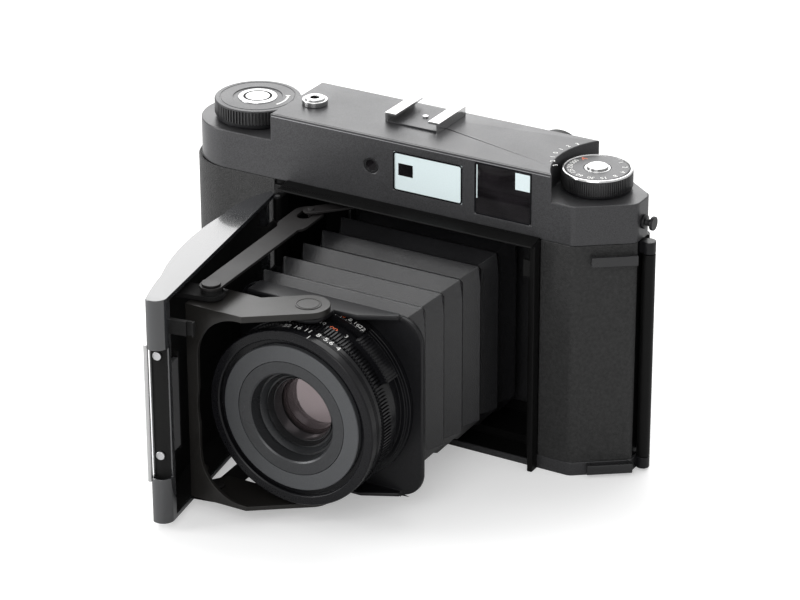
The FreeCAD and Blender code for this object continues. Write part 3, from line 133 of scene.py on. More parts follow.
def soft_panel(name, spot, width, height, watts):
    bpy.ops.object.light_add(type="AREA", location=spot)
    lamp = bpy.context.object
    lamp.name = name
    lamp.data.shape = "RECTANGLE"
    lamp.data.size = width
    lamp.data.size_y = height
    lamp.data.energy = watts
    aim = Vector((0, -0.03, 0.05)) - Vector(spot)
    lamp.rotation_euler = aim.to_track_quat("-Z", "Y").to_euler()
    return lamp


soft_panel("panel_overhead", (-0.25, 0.55, 1.05), 1.5, 1.0, 11)
soft_panel("panel_behind", (-0.75, 1.15, 0.62), 1.3, 0.8, 8.5)
soft_panel("panel_left", (-1.05, -0.75, 0.3), 0.6, 0.9, 16)
soft_panel("panel_front", (0.35, -1.3, 0.9), 0.9, 0.9, 8)

# %% [markdown]
# ## White surroundings
# The world looks white to the viewer, to mirrors and through glass, but gives the object only
# a gentle fill. A Light Path node tells the kinds of rays apart. The floor does the same with a
# little glow for the viewer's rays, so it is white and still holds the soft shadow.

# %% World and floor
FILL = 0.55

world = bpy.data.worlds.new("studio")
bpy.context.scene.world = world
world.use_nodes = True
tree = world.node_tree
tree.nodes.clear()
rays = tree.nodes.new("ShaderNodeLightPath")
seen = tree.nodes.new("ShaderNodeMath")
seen.operation = "MAXIMUM"
tree.links.new(rays.outputs["Is Camera Ray"], seen.inputs[0])
mirrored = tree.nodes.new("ShaderNodeMath")
mirrored.operation = "MAXIMUM"
tree.links.new(rays.outputs["Is Glossy Ray"], mirrored.inputs[0])
tree.links.new(rays.outputs["Is Transmission Ray"], mirrored.inputs[1])
tree.links.new(mirrored.outputs[0], seen.inputs[1])
level = tree.nodes.new("ShaderNodeMapRange")
level.inputs["To Min"].default_value = FILL
level.inputs["To Max"].default_value = 1.0
tree.links.new(seen.outputs[0], level.inputs["Value"])
sky = tree.nodes.new("ShaderNodeBackground")
sky.inputs["Color"].default_value = (1, 1, 1, 1)
tree.links.new(level.outputs["Result"], sky.inputs["Strength"])
output = tree.nodes.new("ShaderNodeOutputWorld")
tree.links.new(sky.outputs[0], output.inputs["Surface"])

bpy.ops.mesh.primitive_plane_add(size=6, location=(0, 0, 0))
floor = bpy.context.object
floor.name = "floor"
paper = bpy.data.materials.new("paper")
paper.use_nodes = True
shader = paper.node_tree.nodes["Principled BSDF"]
shader.inputs["Base Color"].default_value = (0.78, 0.78, 0.78, 1)
shader.inputs["Roughness"].default_value = 0.9
shader.inputs["Specular IOR Level"].default_value = 0.1
shader.inputs["Emission Color"].default_value = (1, 1, 1, 1)
paper_rays = paper.node_tree.nodes.new("ShaderNodeLightPath")
glow = paper.node_tree.nodes.new("ShaderNodeMath")
glow.operation = "MULTIPLY"
glow.inputs[1].default_value = 0.35
paper.node_tree.links.new(paper_rays.outputs["Is Camera Ray"], glow.inputs[0])
paper.node_tree.links.new(glow.outputs[0], shader.inputs["Emission Strength"])
floor.data.materials.append(paper)
print("floor", round(floor.dimensions.x, 1), "m wide, fill", FILL)

# %% [markdown]
# ## Finishes
# Every finish is one recipe with different amounts: a base colour that a fine noise varies a
# little, a roughness that a broader noise varies, and a bump for the grain. All patterns read
# object coordinates, in metres, so a scale of 2500 means grains of about 0.4 mm. What is the
# same all over the surface is typed straight onto the shader's own sockets.

# %% The finish recipe


def noise(tree, coords, scale, detail=3.0):
    node = tree.nodes.new("ShaderNodeTexNoise")
    node.inputs["Scale"].default_value = scale
    node.inputs["Detail"].default_value = detail
    tree.links.new(coords, node.inputs["Vector"])
    return node.outputs["Fac"]


def spread(tree, value, low, high):
    node = tree.nodes.new("ShaderNodeMapRange")
    node.inputs["From Min"].default_value = 0.3
    node.inputs["From Max"].default_value = 0.7
    node.inputs["To Min"].default_value = low
    node.inputs["To Max"].default_value = high
    tree.links.new(value, node.inputs["Value"])
    return node.outputs["Result"]


def finish(name, color, rough, metal=0.0, shine=0.5, coat=0.0, vary=0.15, speck=2500,
           cloud=60, grain=None, depth=0.03, stretch=(1, 1, 1)):
    material = bpy.data.materials.new(name)
    material.use_nodes = True
    tree = material.node_tree
    shader = tree.nodes["Principled BSDF"]
    shader.inputs["Metallic"].default_value = metal
    shader.inputs["Specular IOR Level"].default_value = shine
    shader.inputs["Coat Weight"].default_value = coat
    shader.inputs["Coat Roughness"].default_value = 0.06
    where = tree.nodes.new("ShaderNodeTexCoord").outputs["Object"]
    fit = tree.nodes.new("ShaderNodeMapping")
    fit.inputs["Scale"].default_value = stretch
    tree.links.new(where, fit.inputs["Vector"])
    coords = fit.outputs["Vector"]
    mix = tree.nodes.new("ShaderNodeMix")
    mix.data_type = "RGBA"
    mix.inputs["A"].default_value = [c * (1 - vary) for c in color] + [1]
    mix.inputs["B"].default_value = [min(1, c * (1 + vary)) for c in color] + [1]
    tree.links.new(spread(tree, noise(tree, coords, speck), 0, 1), mix.inputs["Factor"])
    tree.links.new(mix.outputs["Result"], shader.inputs["Base Color"])
    smear = spread(tree, noise(tree, coords, cloud), rough * 0.9, min(1, rough * 1.12))
    tree.links.new(smear, shader.inputs["Roughness"])
    if grain:
        bump = tree.nodes.new("ShaderNodeBump")
        bump.inputs["Strength"].default_value = depth
        bump.inputs["Distance"].default_value = 0.1 * MM
        tree.links.new(noise(tree, coords, grain), bump.inputs["Height"])
        tree.links.new(bump.outputs["Normal"], shader.inputs["Normal"])
    return material


# %% [markdown]
# ## Leather and cloth
# Leatherette is pressed with small rounded pebbles. A Voronoi texture gives one cell per
# pebble: the distance to the cell's edge is the height.

# %% The pebbled finish


def pebbled(name, color, rough, cells, relief, shine=0.2):
    material = finish(name, color, rough, shine=shine, vary=0.25, speck=900)
    tree = material.node_tree
    shader = tree.nodes["Principled BSDF"]
    where = tree.nodes["Texture Coordinate"].outputs["Object"]
    pebbles = tree.nodes.new("ShaderNodeTexVoronoi")
    pebbles.inputs["Scale"].default_value = cells
    tree.links.new(where, pebbles.inputs["Vector"])
    bump = tree.nodes.new("ShaderNodeBump")
    bump.invert = True
    bump.inputs["Strength"].default_value = relief
    bump.inputs["Distance"].default_value = 0.2 * MM
    tree.links.new(pebbles.outputs["Distance"], bump.inputs["Height"])
    tree.links.new(bump.outputs["Normal"], shader.inputs["Normal"])
    return material


# %% [markdown]
# The real camera is nearly all black, but no two of its blacks are alike: the cover is a satin
# with a metal glint, the door a wet lacquer, the frame almost dull. So each gets its own amounts,
# compared with the photograph one by one. Chrome and steel differ by roughness alone.

# %% The finishes of this camera
cover_satin = finish("cover_satin", (0.042, 0.042, 0.044), 0.36, metal=0.35, shine=0.4, vary=0.35,
                     speck=3500, grain=3000, depth=0.25)
black_satin = finish("black_satin", (0.008, 0.008, 0.009), 0.34, shine=0.2, vary=0.3, grain=2500,
                     depth=0.2)
body_black = finish("body_black", (0.004, 0.004, 0.004), 0.4, shine=0.1, vary=0.3, grain=1800, depth=0.25)
lacquer = finish("lacquer", (0.022, 0.023, 0.025), 0.16, shine=0.6, coat=0.7, speck=1500)
arm_satin = finish("arm_satin", (0.016, 0.015, 0.014), 0.33, metal=0.15, shine=0.35, grain=2500, depth=0.2)
strut_black = finish("strut_black", (0.012, 0.011, 0.011), 0.45, shine=0.2, grain=2500, depth=0.2)
barrel_black = finish("barrel_black", (0.006, 0.006, 0.007), 0.22, shine=0.16, vary=0.3)
face_grey = finish("face_grey", (0.05, 0.052, 0.055), 0.42, shine=0.35, vary=0.12)
chrome = finish("chrome", (0.48, 0.48, 0.48), 0.16, metal=1.0, vary=0.06, cloud=500)
steel = finish("steel", (0.5, 0.5, 0.51), 0.3, metal=1.0, vary=0.08, stretch=(1, 1, 30))
leatherette = pebbled("leatherette", (0.024, 0.024, 0.024), 0.5, 2100, 0.8)
bellows_leather = pebbled("bellows_leather", (0.011, 0.011, 0.012), 0.36, 2600, 0.3, shine=0.5)
dull_black = finish("dull_black", (0.006, 0.006, 0.006), 0.7, shine=0.15, vary=0.3)
strap_plastic = finish("strap_plastic", (0.02, 0.02, 0.021), 0.3, shine=0.4, grain=1500, depth=0.1)
board_green = finish("board_green", (0.02, 0.08, 0.035), 0.4, vary=0.3, speck=300)
rib_black = finish("rib_black", (0.03, 0.03, 0.031), 0.3, metal=0.4, vary=0.2)
white_paint = finish("white_paint", (0.8, 0.8, 0.78), 0.5, vary=0.05)
orange_paint = finish("orange_paint", (0.75, 0.14, 0.05), 0.5, vary=0.08)
# Frosted glass of the bright window; the same pale colour is painted on the viewfinder glass as reflection
# and highlight.
frosted = finish("frosted", (0.62, 0.71, 0.72), 0.3, vary=0.03, cloud=120)
funnel_grey = finish("funnel_grey", (0.03, 0.031, 0.033), 0.3, metal=0.3, shine=0.4, vary=0.2)
press_grey = finish("press_grey", (0.09, 0.09, 0.092), 0.4, shine=0.3, vary=0.15)
polished_black = finish("polished_black", (0.05, 0.05, 0.052), 0.2, metal=0.7, shine=0.6, vary=0.1)
# A light copy of the cover's finish: painted highlight for the block's front edge and the window sills.
cover_painted_highlight = finish("cover_painted_highlight", (0.32, 0.32, 0.33), 0.35, metal=0.5, vary=0.1)
print("finishes:", len(bpy.data.materials))

# %% [markdown]
# ## Glass
# Behind the viewfinder and the round window it is dark, so a near black and very glossy pane
# looks like them. The taking lens wears a coating that mirrors a soft rose colour: a dark pane
# with a tinted mirror layer shows this without sending rays through a dozen surfaces.

# %% Glass finishes
window_dark = finish("window_dark", (0.008, 0.007, 0.008), 0.05, shine=0.6, coat=1.0, vary=0.5, speck=120)
coated_glass = finish("coated_glass", (0.17, 0.135, 0.14), 0.08, metal=0.75, coat=1.0, vary=0.1, speck=40)
print("glass:", window_dark.name, coated_glass.name)

# %% [markdown]
# ## Dressing a CAD solid
# A CAD solid arrives as loose triangles with knife-sharp edges, and real edges catch light.
# So a copy of its mesh is merged, its flat faces are joined again by a limited dissolve and
# split wherever they bend inwards (a bevel would close such a face like a lid), its sharp
# edges get a small bevel, and it is shaded smooth across the small angles only. The copy then
# stands for the solid, on the same body.

# %% Selecting by hand in code


def only(piece):
    bpy.ops.object.select_all(action="DESELECT")
    piece.select_set(True)
    bpy.context.view_layer.objects.active = piece


def enter(piece, mode="FACE"):
    only(piece)
    bpy.ops.object.mode_set(mode="EDIT")
    bpy.ops.mesh.select_mode(type=mode)
    bpy.ops.mesh.select_all(action="DESELECT")


def leave():
    bpy.ops.object.mode_set(mode="OBJECT")


def pick_faces(piece, test):
    mesh = bmesh.from_edit_mesh(piece.data)
    for face in mesh.faces:
        face.select_set(test(face.calc_center_median(), face.normal))
    bmesh.update_edit_mesh(piece.data)


# %% [markdown]
# Modifiers are added, set and applied in one go. Every hard piece ends the same way: a small
# bevel, smooth shading up to 40 degrees, and weighted normals, which keep large flat faces flat.
# Then it is settled: its place goes into its mesh, and it gets its finish and its body.

# %% Modifiers and smoothing


def modify(piece, kind, **settings):
    only(piece)
    modifier = piece.modifiers.new(kind.lower(), kind)
    for key, value in settings.items():
        setattr(modifier, key, value)
    bpy.ops.object.modifier_apply(modifier=modifier.name)


def soften(piece, width, angle=32, segments=2):
    modify(piece, "BEVEL", width=width * MM, segments=segments, limit_method="ANGLE",
           angle_limit=math.radians(angle), use_clamp_overlap=False, harden_normals=False)
    only(piece)
    bpy.ops.object.shade_smooth_by_angle(angle=math.radians(40))
    modify(piece, "WEIGHTED_NORMAL", mode="FACE_AREA_WITH_ANGLE", weight=50, keep_sharp=True)


def settle(piece, material, body, slot, *stands_for):
    only(piece)
    bpy.ops.object.transform_apply(location=True, rotation=True, scale=True)
    piece.data.materials.clear()
    piece.data.materials.append(material)
    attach(piece, body)
    if stands_for:
        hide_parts(*stands_for)
    return piece


# %% [markdown]
# The record says which material slot and which body each solid has; a dressed copy takes its
# body from there.

# %% The dressing function
slot_of = {part["node"]: part["material_slot"] for part in frame["record"]["subparts"]}
body_of = {node: body for body, members in frame["record"]["behaviour"]["bodies"].items()
           for node in members}
print("solids with a body:", len(body_of))


def dress(node, material, width=0.25, angle=32):
    piece = bpy.data.objects.new(node + "_dressed", nodes[node].data.copy())
    bpy.context.scene.collection.objects.link(piece)
    enter(piece)
    bpy.ops.mesh.select_all(action="SELECT")
    bpy.ops.mesh.remove_doubles(threshold=0.002 * MM)
    bpy.ops.mesh.dissolve_limited(angle_limit=math.radians(0.8))
    bpy.ops.mesh.vert_connect_concave()
    leave()
    soften(piece, width, angle)
    return settle(piece, material, body_of[node], slot_of[node], node)


# %% [markdown]
# ## Finishes for the solids that stay
# Solids deep inside, and those whose CAD shape needs nothing more, keep their mesh and only
# get a finish.

# %% Finishes of the kept solids
kept = {
    body_black: ["chassis", "pressure_plate"],
    leatherette: ["back_covering"],
    steel: ["tripod_socket", "hinge_pin", "takeup_pin", "supply_pin", "roller_left", "roller_right",
            "batteries", "shoe_contact"],
    dull_black: ["door_catch", "takeup_spool", "supply_spool", "finder_block", "rangefinder_block",
                 "shutter_blades", "shutter_unit"],
    chrome: ["door_rod", "door_button"],
    board_green: ["circuit_board"],
    coated_glass: ["rear_glass"],
    window_dark: ["finder_window", "round_window"],
    frosted: ["bright_window"],
}
for material, members in kept.items():
    for node in members:
        nodes[node].data.materials.clear()
        nodes[node].data.materials.append(material)
for node in nodes.values():
    if not node.data.materials or node.data.materials[0] not in kept:
        node.data.materials.clear()
        node.data.materials.append(body_black)
print("solids with a finish of their own:", sum(len(members) for members in kept.values()))

# %% [markdown]
# ## Edges for the hard parts
# The cover, frame, door, arm and controls are the right shape already, so they are dressed:
# the number after each is the width of its bevel in millimetres.

# %% Dressed parts
dressed = {
    "top_cover": (cover_satin, 0.4), "base_plate": (cover_satin, 0.3), "front_frame": (body_black, 0.3),
    "swing_arm": (arm_satin, 0.12), "struts": (strut_black, 0.15), "strut_links": (strut_black, 0.12),
    "lens_board": (black_satin, 0.5), "arm_pivots": (strut_black, 0.12),
    "door_skin": (lacquer, 0.2), "door_frame": (dull_black, 0.12), "door_screws": (steel, 0.15),
    "back_bar": (black_satin, 0.2), "back_door": (body_black, 0.2),
    "back_latch": (black_satin, 0.25), "strap_loops": (strap_plastic, 0.25), "strap_lugs": (black_satin, 0.2),
    "eyepiece": (body_black, 0.4), "release_collar": (chrome, 0.25), "shutter_button": (chrome, 0.2),
    "battery_cap": (black_satin, 0.1), "dial_button": (chrome, 0.25), "grip_left": (leatherette, 0.3),
    "grip_right": (leatherette, 0.3), "lens_mount": (barrel_black, 0.25), "depth_scale": (barrel_black, 0.2),
    "press_bar": (press_grey, 0.2),
}
for node, (material, width) in dressed.items():
    piece = dress(node, material, width)
    print(node, "faces", len(piece.data.polygons))

# %% [markdown]
# ## A lathe for the round parts
# Rings and knobs are turned: a single point is extruded step by step along the part's
# section, and the line is spun round the axis. Each step of a section is a pair, how far out
# from the axis and where along it. A section that ends where it began makes a closed ring, and
# one that starts and ends on the axis makes a solid disc.

# %% The lathe
ROUND_STEPS = 96
LENS_AXIS = (LENS_X, 0, LENS_Z)


def trace(section):
    bpy.ops.mesh.primitive_plane_add(size=MM)
    piece = bpy.context.object
    enter(piece, "VERT")
    bpy.ops.mesh.select_all(action="SELECT")
    bpy.ops.mesh.merge(type="CENTER")
    out, along = section[0]
    bpy.ops.transform.translate(value=(out * MM, 0, along * MM))
    for next_out, next_along in section[1:]:
        step = ((next_out - out) * MM, 0, (next_along - along) * MM)
        bpy.ops.mesh.extrude_region_move(TRANSFORM_OT_translate={"value": step})
        out, along = next_out, next_along
    bpy.ops.mesh.select_all(action="SELECT")
    bpy.ops.mesh.remove_doubles(threshold=0.001 * MM)
    return piece


def stand_up(piece, name, spot, axis):
    piece.name = name
    if axis == "Y":
        piece.rotation_euler = (-math.pi / 2, 0, 0)
    piece.location = place(*spot)
    only(piece)
    bpy.ops.object.transform_apply(location=True, rotation=True, scale=True)
    return piece


def lathe(name, section, spot=LENS_AXIS, axis="Y", steps=ROUND_STEPS):
    piece = trace(section)
    bpy.ops.mesh.select_all(action="SELECT")
    bpy.ops.mesh.spin(steps=steps, angle=math.tau, center=(0, 0, 0), axis=(0, 0, 1))
    bpy.ops.mesh.select_all(action="SELECT")
    bpy.ops.mesh.remove_doubles(threshold=0.001 * MM)
    bpy.ops.mesh.normals_make_consistent(inside=False)
    leave()
    return stand_up(piece, name, spot, axis)


def ring(out, bore, low, high, edge=0.3):
    # Section of a plain ring whose outer edges are broken.
    return [(bore, low), (out - edge, low), (out, low + edge), (out, high - edge), (out - edge, high),
            (bore, high), (bore, low)]


# %% [markdown]
# ## The front of the lens
# The outer rim carries the filter thread on its inside. In the groove behind it stands the flat
# grey face, and a fine line parts its outer band from the inner one. Inside, the funnel steps
# down to the glass over three slopes with a dark groove between each. All are turned.

# %% Rim, face and funnel
FACE = -77.3
rim_section = [(17.5, -75.4), (27.5, -75.4), (27.5, -77.1), (27.9, -77.5), (30.6, -77.5), (31.0, -77.1),
               (31.0, -74.6), (22.2, -74.6), (22.2, -67.5), (17.5, -67.5), (17.5, -75.4)]
rim = lathe("lens_rim", rim_section)
soften(rim, 0.12)
settle(rim, barrel_black, "lens_unit", "knob_black", "front_cell")

face = lathe("lens_face", [(20.15, FACE), (25.35, FACE), (25.6, FACE + 0.25), (25.6, -75.3),
                           (20.15, -75.3), (20.15, FACE)])
soften(face, 0.05)
settle(face, face_grey, "lens_unit", "knob_black")

slopes = [(19.95, 0.05), (16.1, 0.1), (15.5, 0.5), (14.8, 3.4), (14.7, 4.4), (14.1, 4.4), (14.0, 3.6),
          (12.9, 5.3), (12.8, 6.2), (12.2, 6.2), (12.2, 11.6), (19.95, 11.6), (19.95, 0.05)]
funnel = lathe("lens_funnel", [(out, FACE + depth) for out, depth in slopes])
soften(funnel, 0.05)
settle(funnel, funnel_grey, "lens_unit", "knob_black")

seat = [(12.15, 5.4), (11.3, 7.4), (11.25, 7.8), (11.0, 7.8), (10.95, 7.5), (10.25, 10.9),
        (12.15, 11.6), (12.15, 5.4)]
glass_seat = lathe("lens_glass_seat", [(out, FACE + depth) for out, depth in seat])
soften(glass_seat, 0.04)
settle(glass_seat, polished_black, "lens_unit", "knob_black")
print("front of the lens:", [len(p.data.polygons) for p in (rim, face, funnel, glass_seat)])

# %% [markdown]
# The front glass is a shallow dome. Its section is a piece of a circle: for a height h over a
# radius r the circle's own radius is (r squared + h squared) / 2h, and the sagitta at each
# distance from the axis follows from Pythagoras.

# %% The front glass
DOME_R = 11.2
DOME_RISE = 1.6
DOME_FRONT = FACE + 11.1
ball = (DOME_R ** 2 + DOME_RISE ** 2) / (2 * DOME_RISE)
radii = [DOME_R * i / 8 for i in range(9)]
dome = [(r, DOME_FRONT + ball - math.sqrt(ball ** 2 - r ** 2)) for r in radii]
dome += [(DOME_R, DOME_FRONT + 4.2), (0, DOME_FRONT + 4.2)]
glass = lathe("front_glass_dome", dome)
only(glass)
bpy.ops.object.shade_smooth_by_angle(angle=math.radians(40))
settle(glass, coated_glass, "lens_unit", "lens_glass", "front_glass")
print("dome radius", round(ball, 1), "mm")

# %% [markdown]
# ## Ribbed grips
# A ribbed ring starts as a cylinder with two side faces for each rib. Every second side face is
# pulled out on its own and made a little narrower, so real ribs stand up that catch the light
# one by one. The bore is cut by insetting both end faces and bridging them.

# %% The grip maker


def ribbed(name, ribs, root, tip, low, high, bore=0.0, spot=LENS_AXIS, axis="Y", thin=0.72):
    bpy.ops.mesh.primitive_cylinder_add(vertices=2 * ribs, radius=root * MM, depth=(high - low) * MM,
                                        location=(0, 0, (high + low) / 2 * MM))
    piece = bpy.context.object
    only(piece)
    bpy.ops.object.transform_apply(location=True, rotation=False, scale=False)
    enter(piece)
    if bore:
        pick_faces(piece, lambda middle, normal: abs(normal.z) > 0.9)
        bpy.ops.mesh.inset(thickness=(root - bore) * MM, use_even_offset=False)
        bpy.ops.mesh.bridge_edge_loops()
    slice_angle = math.tau / (2 * ribs)

    def every_second(middle, normal):
        at = math.atan2(middle.y, middle.x) / slice_angle
        on_side = abs(normal.z) < 0.1 and middle.xy.length > 0.9 * root * MM
        return on_side and math.floor(at) % 2 == 0

    pick_faces(piece, every_second)
    bpy.ops.mesh.extrude_faces_move(TRANSFORM_OT_shrink_fatten={"value": (tip - root) * MM})
    bpy.ops.mesh.inset(thickness=(1 - thin) / 2 * root * slice_angle * MM, depth=0, use_individual=True)
    bpy.ops.mesh.select_all(action="SELECT")
    bpy.ops.mesh.normals_make_consistent(inside=False)
    leave()
    return stand_up(piece, name, spot, axis)


# %% [markdown]
# ## Focus and aperture rings
# The aperture ring is smooth but for three fine grooves near its front, so it is turned, and
# the grooves are steps of its section, written by a loop.

# %% Aperture ring
aperture_section = [(22.3, -74.3), (30.1, -74.3), (30.4, -74.0)]
for groove_y in (-73.6, -73.0, -72.4):
    aperture_section += [(30.4, groove_y), (30.15, groove_y + 0.05), (30.15, groove_y + 0.2),
                         (30.4, groove_y + 0.25)]
aperture_section += [(30.4, -70.4), (30.2, -70.2), (22.3, -70.2), (22.3, -74.3)]
aperture = lathe("aperture_ring_turned", aperture_section)
soften(aperture, 0.04)
settle(aperture, barrel_black, "f_stop_ring", "knob_black", "aperture_ring")

print("aperture section has", len(aperture_section), "points")

# %% [markdown]
# The focus ring has 160 fine ribs over its front half, and a smooth sleeve behind them that
# carries the distances.

# %% Focus ring
focus_grip = ribbed("focus_grip", 160, 30.3, 31.0, -69.9, -65.2, bore=24.45)
soften(focus_grip, 0.05, segments=1)
settle(focus_grip, barrel_black, "distance_ring", "knob_black", "focus_ring")
focus_sleeve = lathe("focus_sleeve", ring(30.0, 24.45, -65.3, -60.4, 0.3))
soften(focus_sleeve, 0.08)
settle(focus_sleeve, barrel_black, "distance_ring", "knob_black")

print("focus grip faces", len(focus_grip.data.polygons))

# %% [markdown]
# Some pieces go only part of the way round the lens. Their section is turned to where they
# begin, spun through their own angle, and the two open ends are filled.

# %% A lathe that stops part of the way round


def sector(name, section, low, high, steps):
    piece = trace(section)
    bpy.ops.mesh.select_all(action="SELECT")
    bpy.ops.transform.rotate(value=math.radians(low), orient_axis="Z", center_override=(0, 0, 0))
    bpy.ops.mesh.spin(steps=steps, angle=math.radians(high - low), center=(0, 0, 0), axis=(0, 0, 1))
    bpy.ops.mesh.select_all(action="SELECT")
    bpy.ops.mesh.remove_doubles(threshold=0.001 * MM)
    bpy.ops.mesh.fill_holes(sides=0)
    bpy.ops.mesh.normals_make_consistent(inside=False)
    leave()
    return stand_up(piece, name, LENS_AXIS, "Y")


# %% [markdown]
# A ribbed grip for the finger stands off the sleeve between 27 and 57 degrees. Its ribs are
# every second face of its outer wall, pushed out half a millimetre.

# %% The ribbed grip that stands off the focus ring
TAB_FROM = 27
TAB_TO = 57
TAB_RIBS = 16
tab = sector("focus_tab", [(29.9, -65.4), (33.1, -65.6), (33.1, -59.2), (31.6, -59.2), (30.2, -60.5),
                           (29.9, -60.5), (29.9, -65.4)], TAB_FROM, TAB_TO, 2 * TAB_RIBS)
spans = [math.degrees(math.atan2(v.co.z - LENS_Z * MM, v.co.x - LENS_X * MM))
         for v in tab.data.vertices]
print("tab spans", round(min(spans)), "to", round(max(spans)), "degrees")
enter(tab)
rib_angle = math.radians(TAB_TO - TAB_FROM) / (2 * TAB_RIBS)


def tab_rib(middle, normal):
    out = Vector((middle.x - LENS_X * MM, middle.z - LENS_Z * MM))
    at = (math.atan2(out.y, out.x) - math.radians(TAB_FROM)) / rib_angle
    return out.length > 33.0 * MM and abs(normal.y) < 0.3 and math.floor(at) % 2 == 0


pick_faces(tab, tab_rib)
bpy.ops.mesh.extrude_faces_move(TRANSFORM_OT_shrink_fatten={"value": 0.5 * MM})
leave()
soften(tab, 0.06, segments=1)
settle(tab, barrel_black, "distance_ring", "knob_black")
print("tab faces", len(tab.data.polygons))

# %% [markdown]
# ## Figures and marks
# Plain figures go where the camera has its scales.
# Each is a text turned into a thin mesh and laid with three directions: the way it reads, the
# way its top points, and, square to both, the way it faces.

# %% Figures


def figure(words, size, spot, reading, upward, depth=0.04):
    bpy.ops.object.text_add()
    piece = bpy.context.object
    piece.data.body = words
    piece.data.size = size * MM
    piece.data.extrude = depth / 2 * MM
    piece.data.resolution_u = 3
    piece.data.align_x = "CENTER"
    piece.data.align_y = "CENTER"
    only(piece)
    bpy.ops.object.convert(target="MESH")
    piece = bpy.context.object
    reading, upward = Vector(reading).normalized(), Vector(upward).normalized()
    turn = Matrix((reading, upward, reading.cross(upward))).transposed()
    piece.matrix_world = Matrix.Translation(place(*spot)) @ turn.to_4x4()
    only(piece)
    bpy.ops.object.transform_apply(location=True, rotation=True, scale=True)
    return piece


def gather(name, pieces, material, body, slot):
    only(pieces[0])
    for piece in pieces:
        piece.select_set(True)
    bpy.ops.object.join()
    pieces[0].name = name
    return settle(pieces[0], material, body, slot)


def round_the_lens(words, degrees, radius, y, size):
    turn = math.radians(degrees)
    out = Vector((math.cos(turn), 0, math.sin(turn)))
    spot = Vector((LENS_X, y, LENS_Z)) + out * radius
    return figure(words, size, spot, (out.z, 0, -out.x), (0, 1, 0))


# %% [markdown]
# The aperture figures stand near the top of their ring, and the line that they are set against
# is on the rim in front.

# %% Aperture figures
STOP_STEP = 7.5
stops = ["22", "16", "11", "8", "5.6", "4"]
marks = [round_the_lens(words, 98 - STOP_STEP * i, 30.41, -71.6, 3.0) for i, words in enumerate(stops)]
marks.append(round_the_lens("|", 78, 31.01, -75.6, 2.4))
gather("aperture_figures", marks[:-1], white_paint, "f_stop_ring", "knob_black")
gather("aperture_mark", marks[-1:], white_paint, "lens_unit", "knob_black")
print("aperture figures:", len(stops))

# %% [markdown]
# Behind the focus ring lies the depth scale on a curved plate of its own: pairs of equal figures
# to both sides of an orange one, over a row of short lines. The distances stand next to it on
# the focus ring's sleeve, and turn with it.

# %% Depth scale and distances
scale_plate = sector("scale_plate", [(29.2, -60.0), (32.6, -60.0), (32.8, -59.8), (32.8, -54.6),
                                     (31.9, -54.4), (31.9, -56.2), (29.2, -56.2), (29.2, -60.0)],
                     58, 91, 24)
soften(scale_plate, 0.08)
settle(scale_plate, barrel_black, "lens_standard", "knob_black")
SCALE_R = 32.81
SLEEVE_R = 30.01
FIGURE = 2.5
depth_row = [("22", 86), ("16", 81.5), ("8", 77), ("8", 69), ("16", 64.5), ("22", 60.5)]
row = [round_the_lens(words, degrees, SCALE_R, -58.6, FIGURE) for words, degrees in depth_row]
row += [round_the_lens("|", 88 - 3.5 * i, SCALE_R, -59.8, 1.1) for i in range(9)]
gather("depth_figures", row, white_paint, "lens_standard", "knob_black")
middle = [round_the_lens("8", 73, SCALE_R, -58.6, FIGURE)]
gather("depth_marks", middle, orange_paint, "lens_standard", "knob_black")
distances = [round_the_lens(words, at, SLEEVE_R, -63.6, FIGURE) for words, at in (("10", 82), ("3", 64))]
gather("distance_figures", distances, white_paint, "distance_ring", "knob_black")
far = [round_the_lens("∞", 73.5, SLEEVE_R, -63.6, 3.4)]
gather("distance_far", far, orange_paint, "distance_ring", "knob_black")
print("scale plate", [round(v * 1000, 1) for v in scale_plate.dimensions])

# %% [markdown]
# ## Pivots on the lens board
# The arm holds the lens board by two pivots. Their heads lie almost flush on the arm: a wide
# round head with a thin groove on top, and a plain one below. Both are turned about an upright
# axis.

# %% Pivots of the lens board
BOARD_PIVOT = (LENS_X, -65.3, 0)
upper = lathe("board_pivot_upper",
              [(0, 73.0), (1.7, 73.0), (1.7, 76.52), (4.4, 76.52), (4.4, 76.64), (4.25, 76.72),
               (3.9, 76.72), (3.8, 76.55), (3.6, 76.55), (3.5, 76.72), (0, 76.76)], BOARD_PIVOT, "Z")
lower = lathe("board_pivot_lower",
              [(0, 9.0), (1.7, 9.0), (1.7, 5.78), (4.4, 5.78), (4.4, 5.6), (4.2, 5.48), (0, 5.45)],
              BOARD_PIVOT, "Z")
for pivot in (upper, lower):
    soften(pivot, 0.03)
settle(upper, arm_satin, "lens_standard", "arm_metal", "board_pivots")
settle(lower, arm_satin, "lens_standard", "arm_metal")
print("pivot heads", round(upper.dimensions.x * 1000, 1), "mm wide")

# %% [markdown]
# ## The bellows
# The bellows is drawn out of one loop of eight corners. The loop is extruded backwards step by
# step, and each new loop is made alternately larger and smaller, which gives the ridges and
# valleys. A real fold also tucks its corners: a ridge is cut steeply at the top corners and
# widely at the bottom ones, while a valley stays nearly square. So the corners move in pairs,
# each pair at its own place. A solidify modifier gives the leather its thickness.

# %% The folds
FOLDS = 6
BELLOWS_FRONT = -50.4
BELLOWS_REAR = 24.7
GATE_FLANGE = (36.0, 27.5), (33.5, 30.5), (36.0, -27.5), (33.5, -30.5)
fold_step = (BELLOWS_REAR - BELLOWS_FRONT) / (2 * FOLDS)
axis_point = place(LENS_X, BELLOWS_FRONT, LENS_Z)
print("one half fold is", round(fold_step, 2), "mm deep")


def fold_corners(ridge, i):
    # Half width and height of four pairs of corners: upper side, top, lower side, bottom.
    if ridge:
        sag = 12.6 - 0.5 * i
        return (31.4, 26.2), (30.5, 33.4), (31.4, sag - 33.4), (31.4 - 0.9 * sag, -33.4)
    sag = 8.2 - 0.5 * i
    return (27.8, 29.2), (26.6, 30.2), (27.8, sag - 30.2), (27.8 - 0.9 * sag, -30.2)


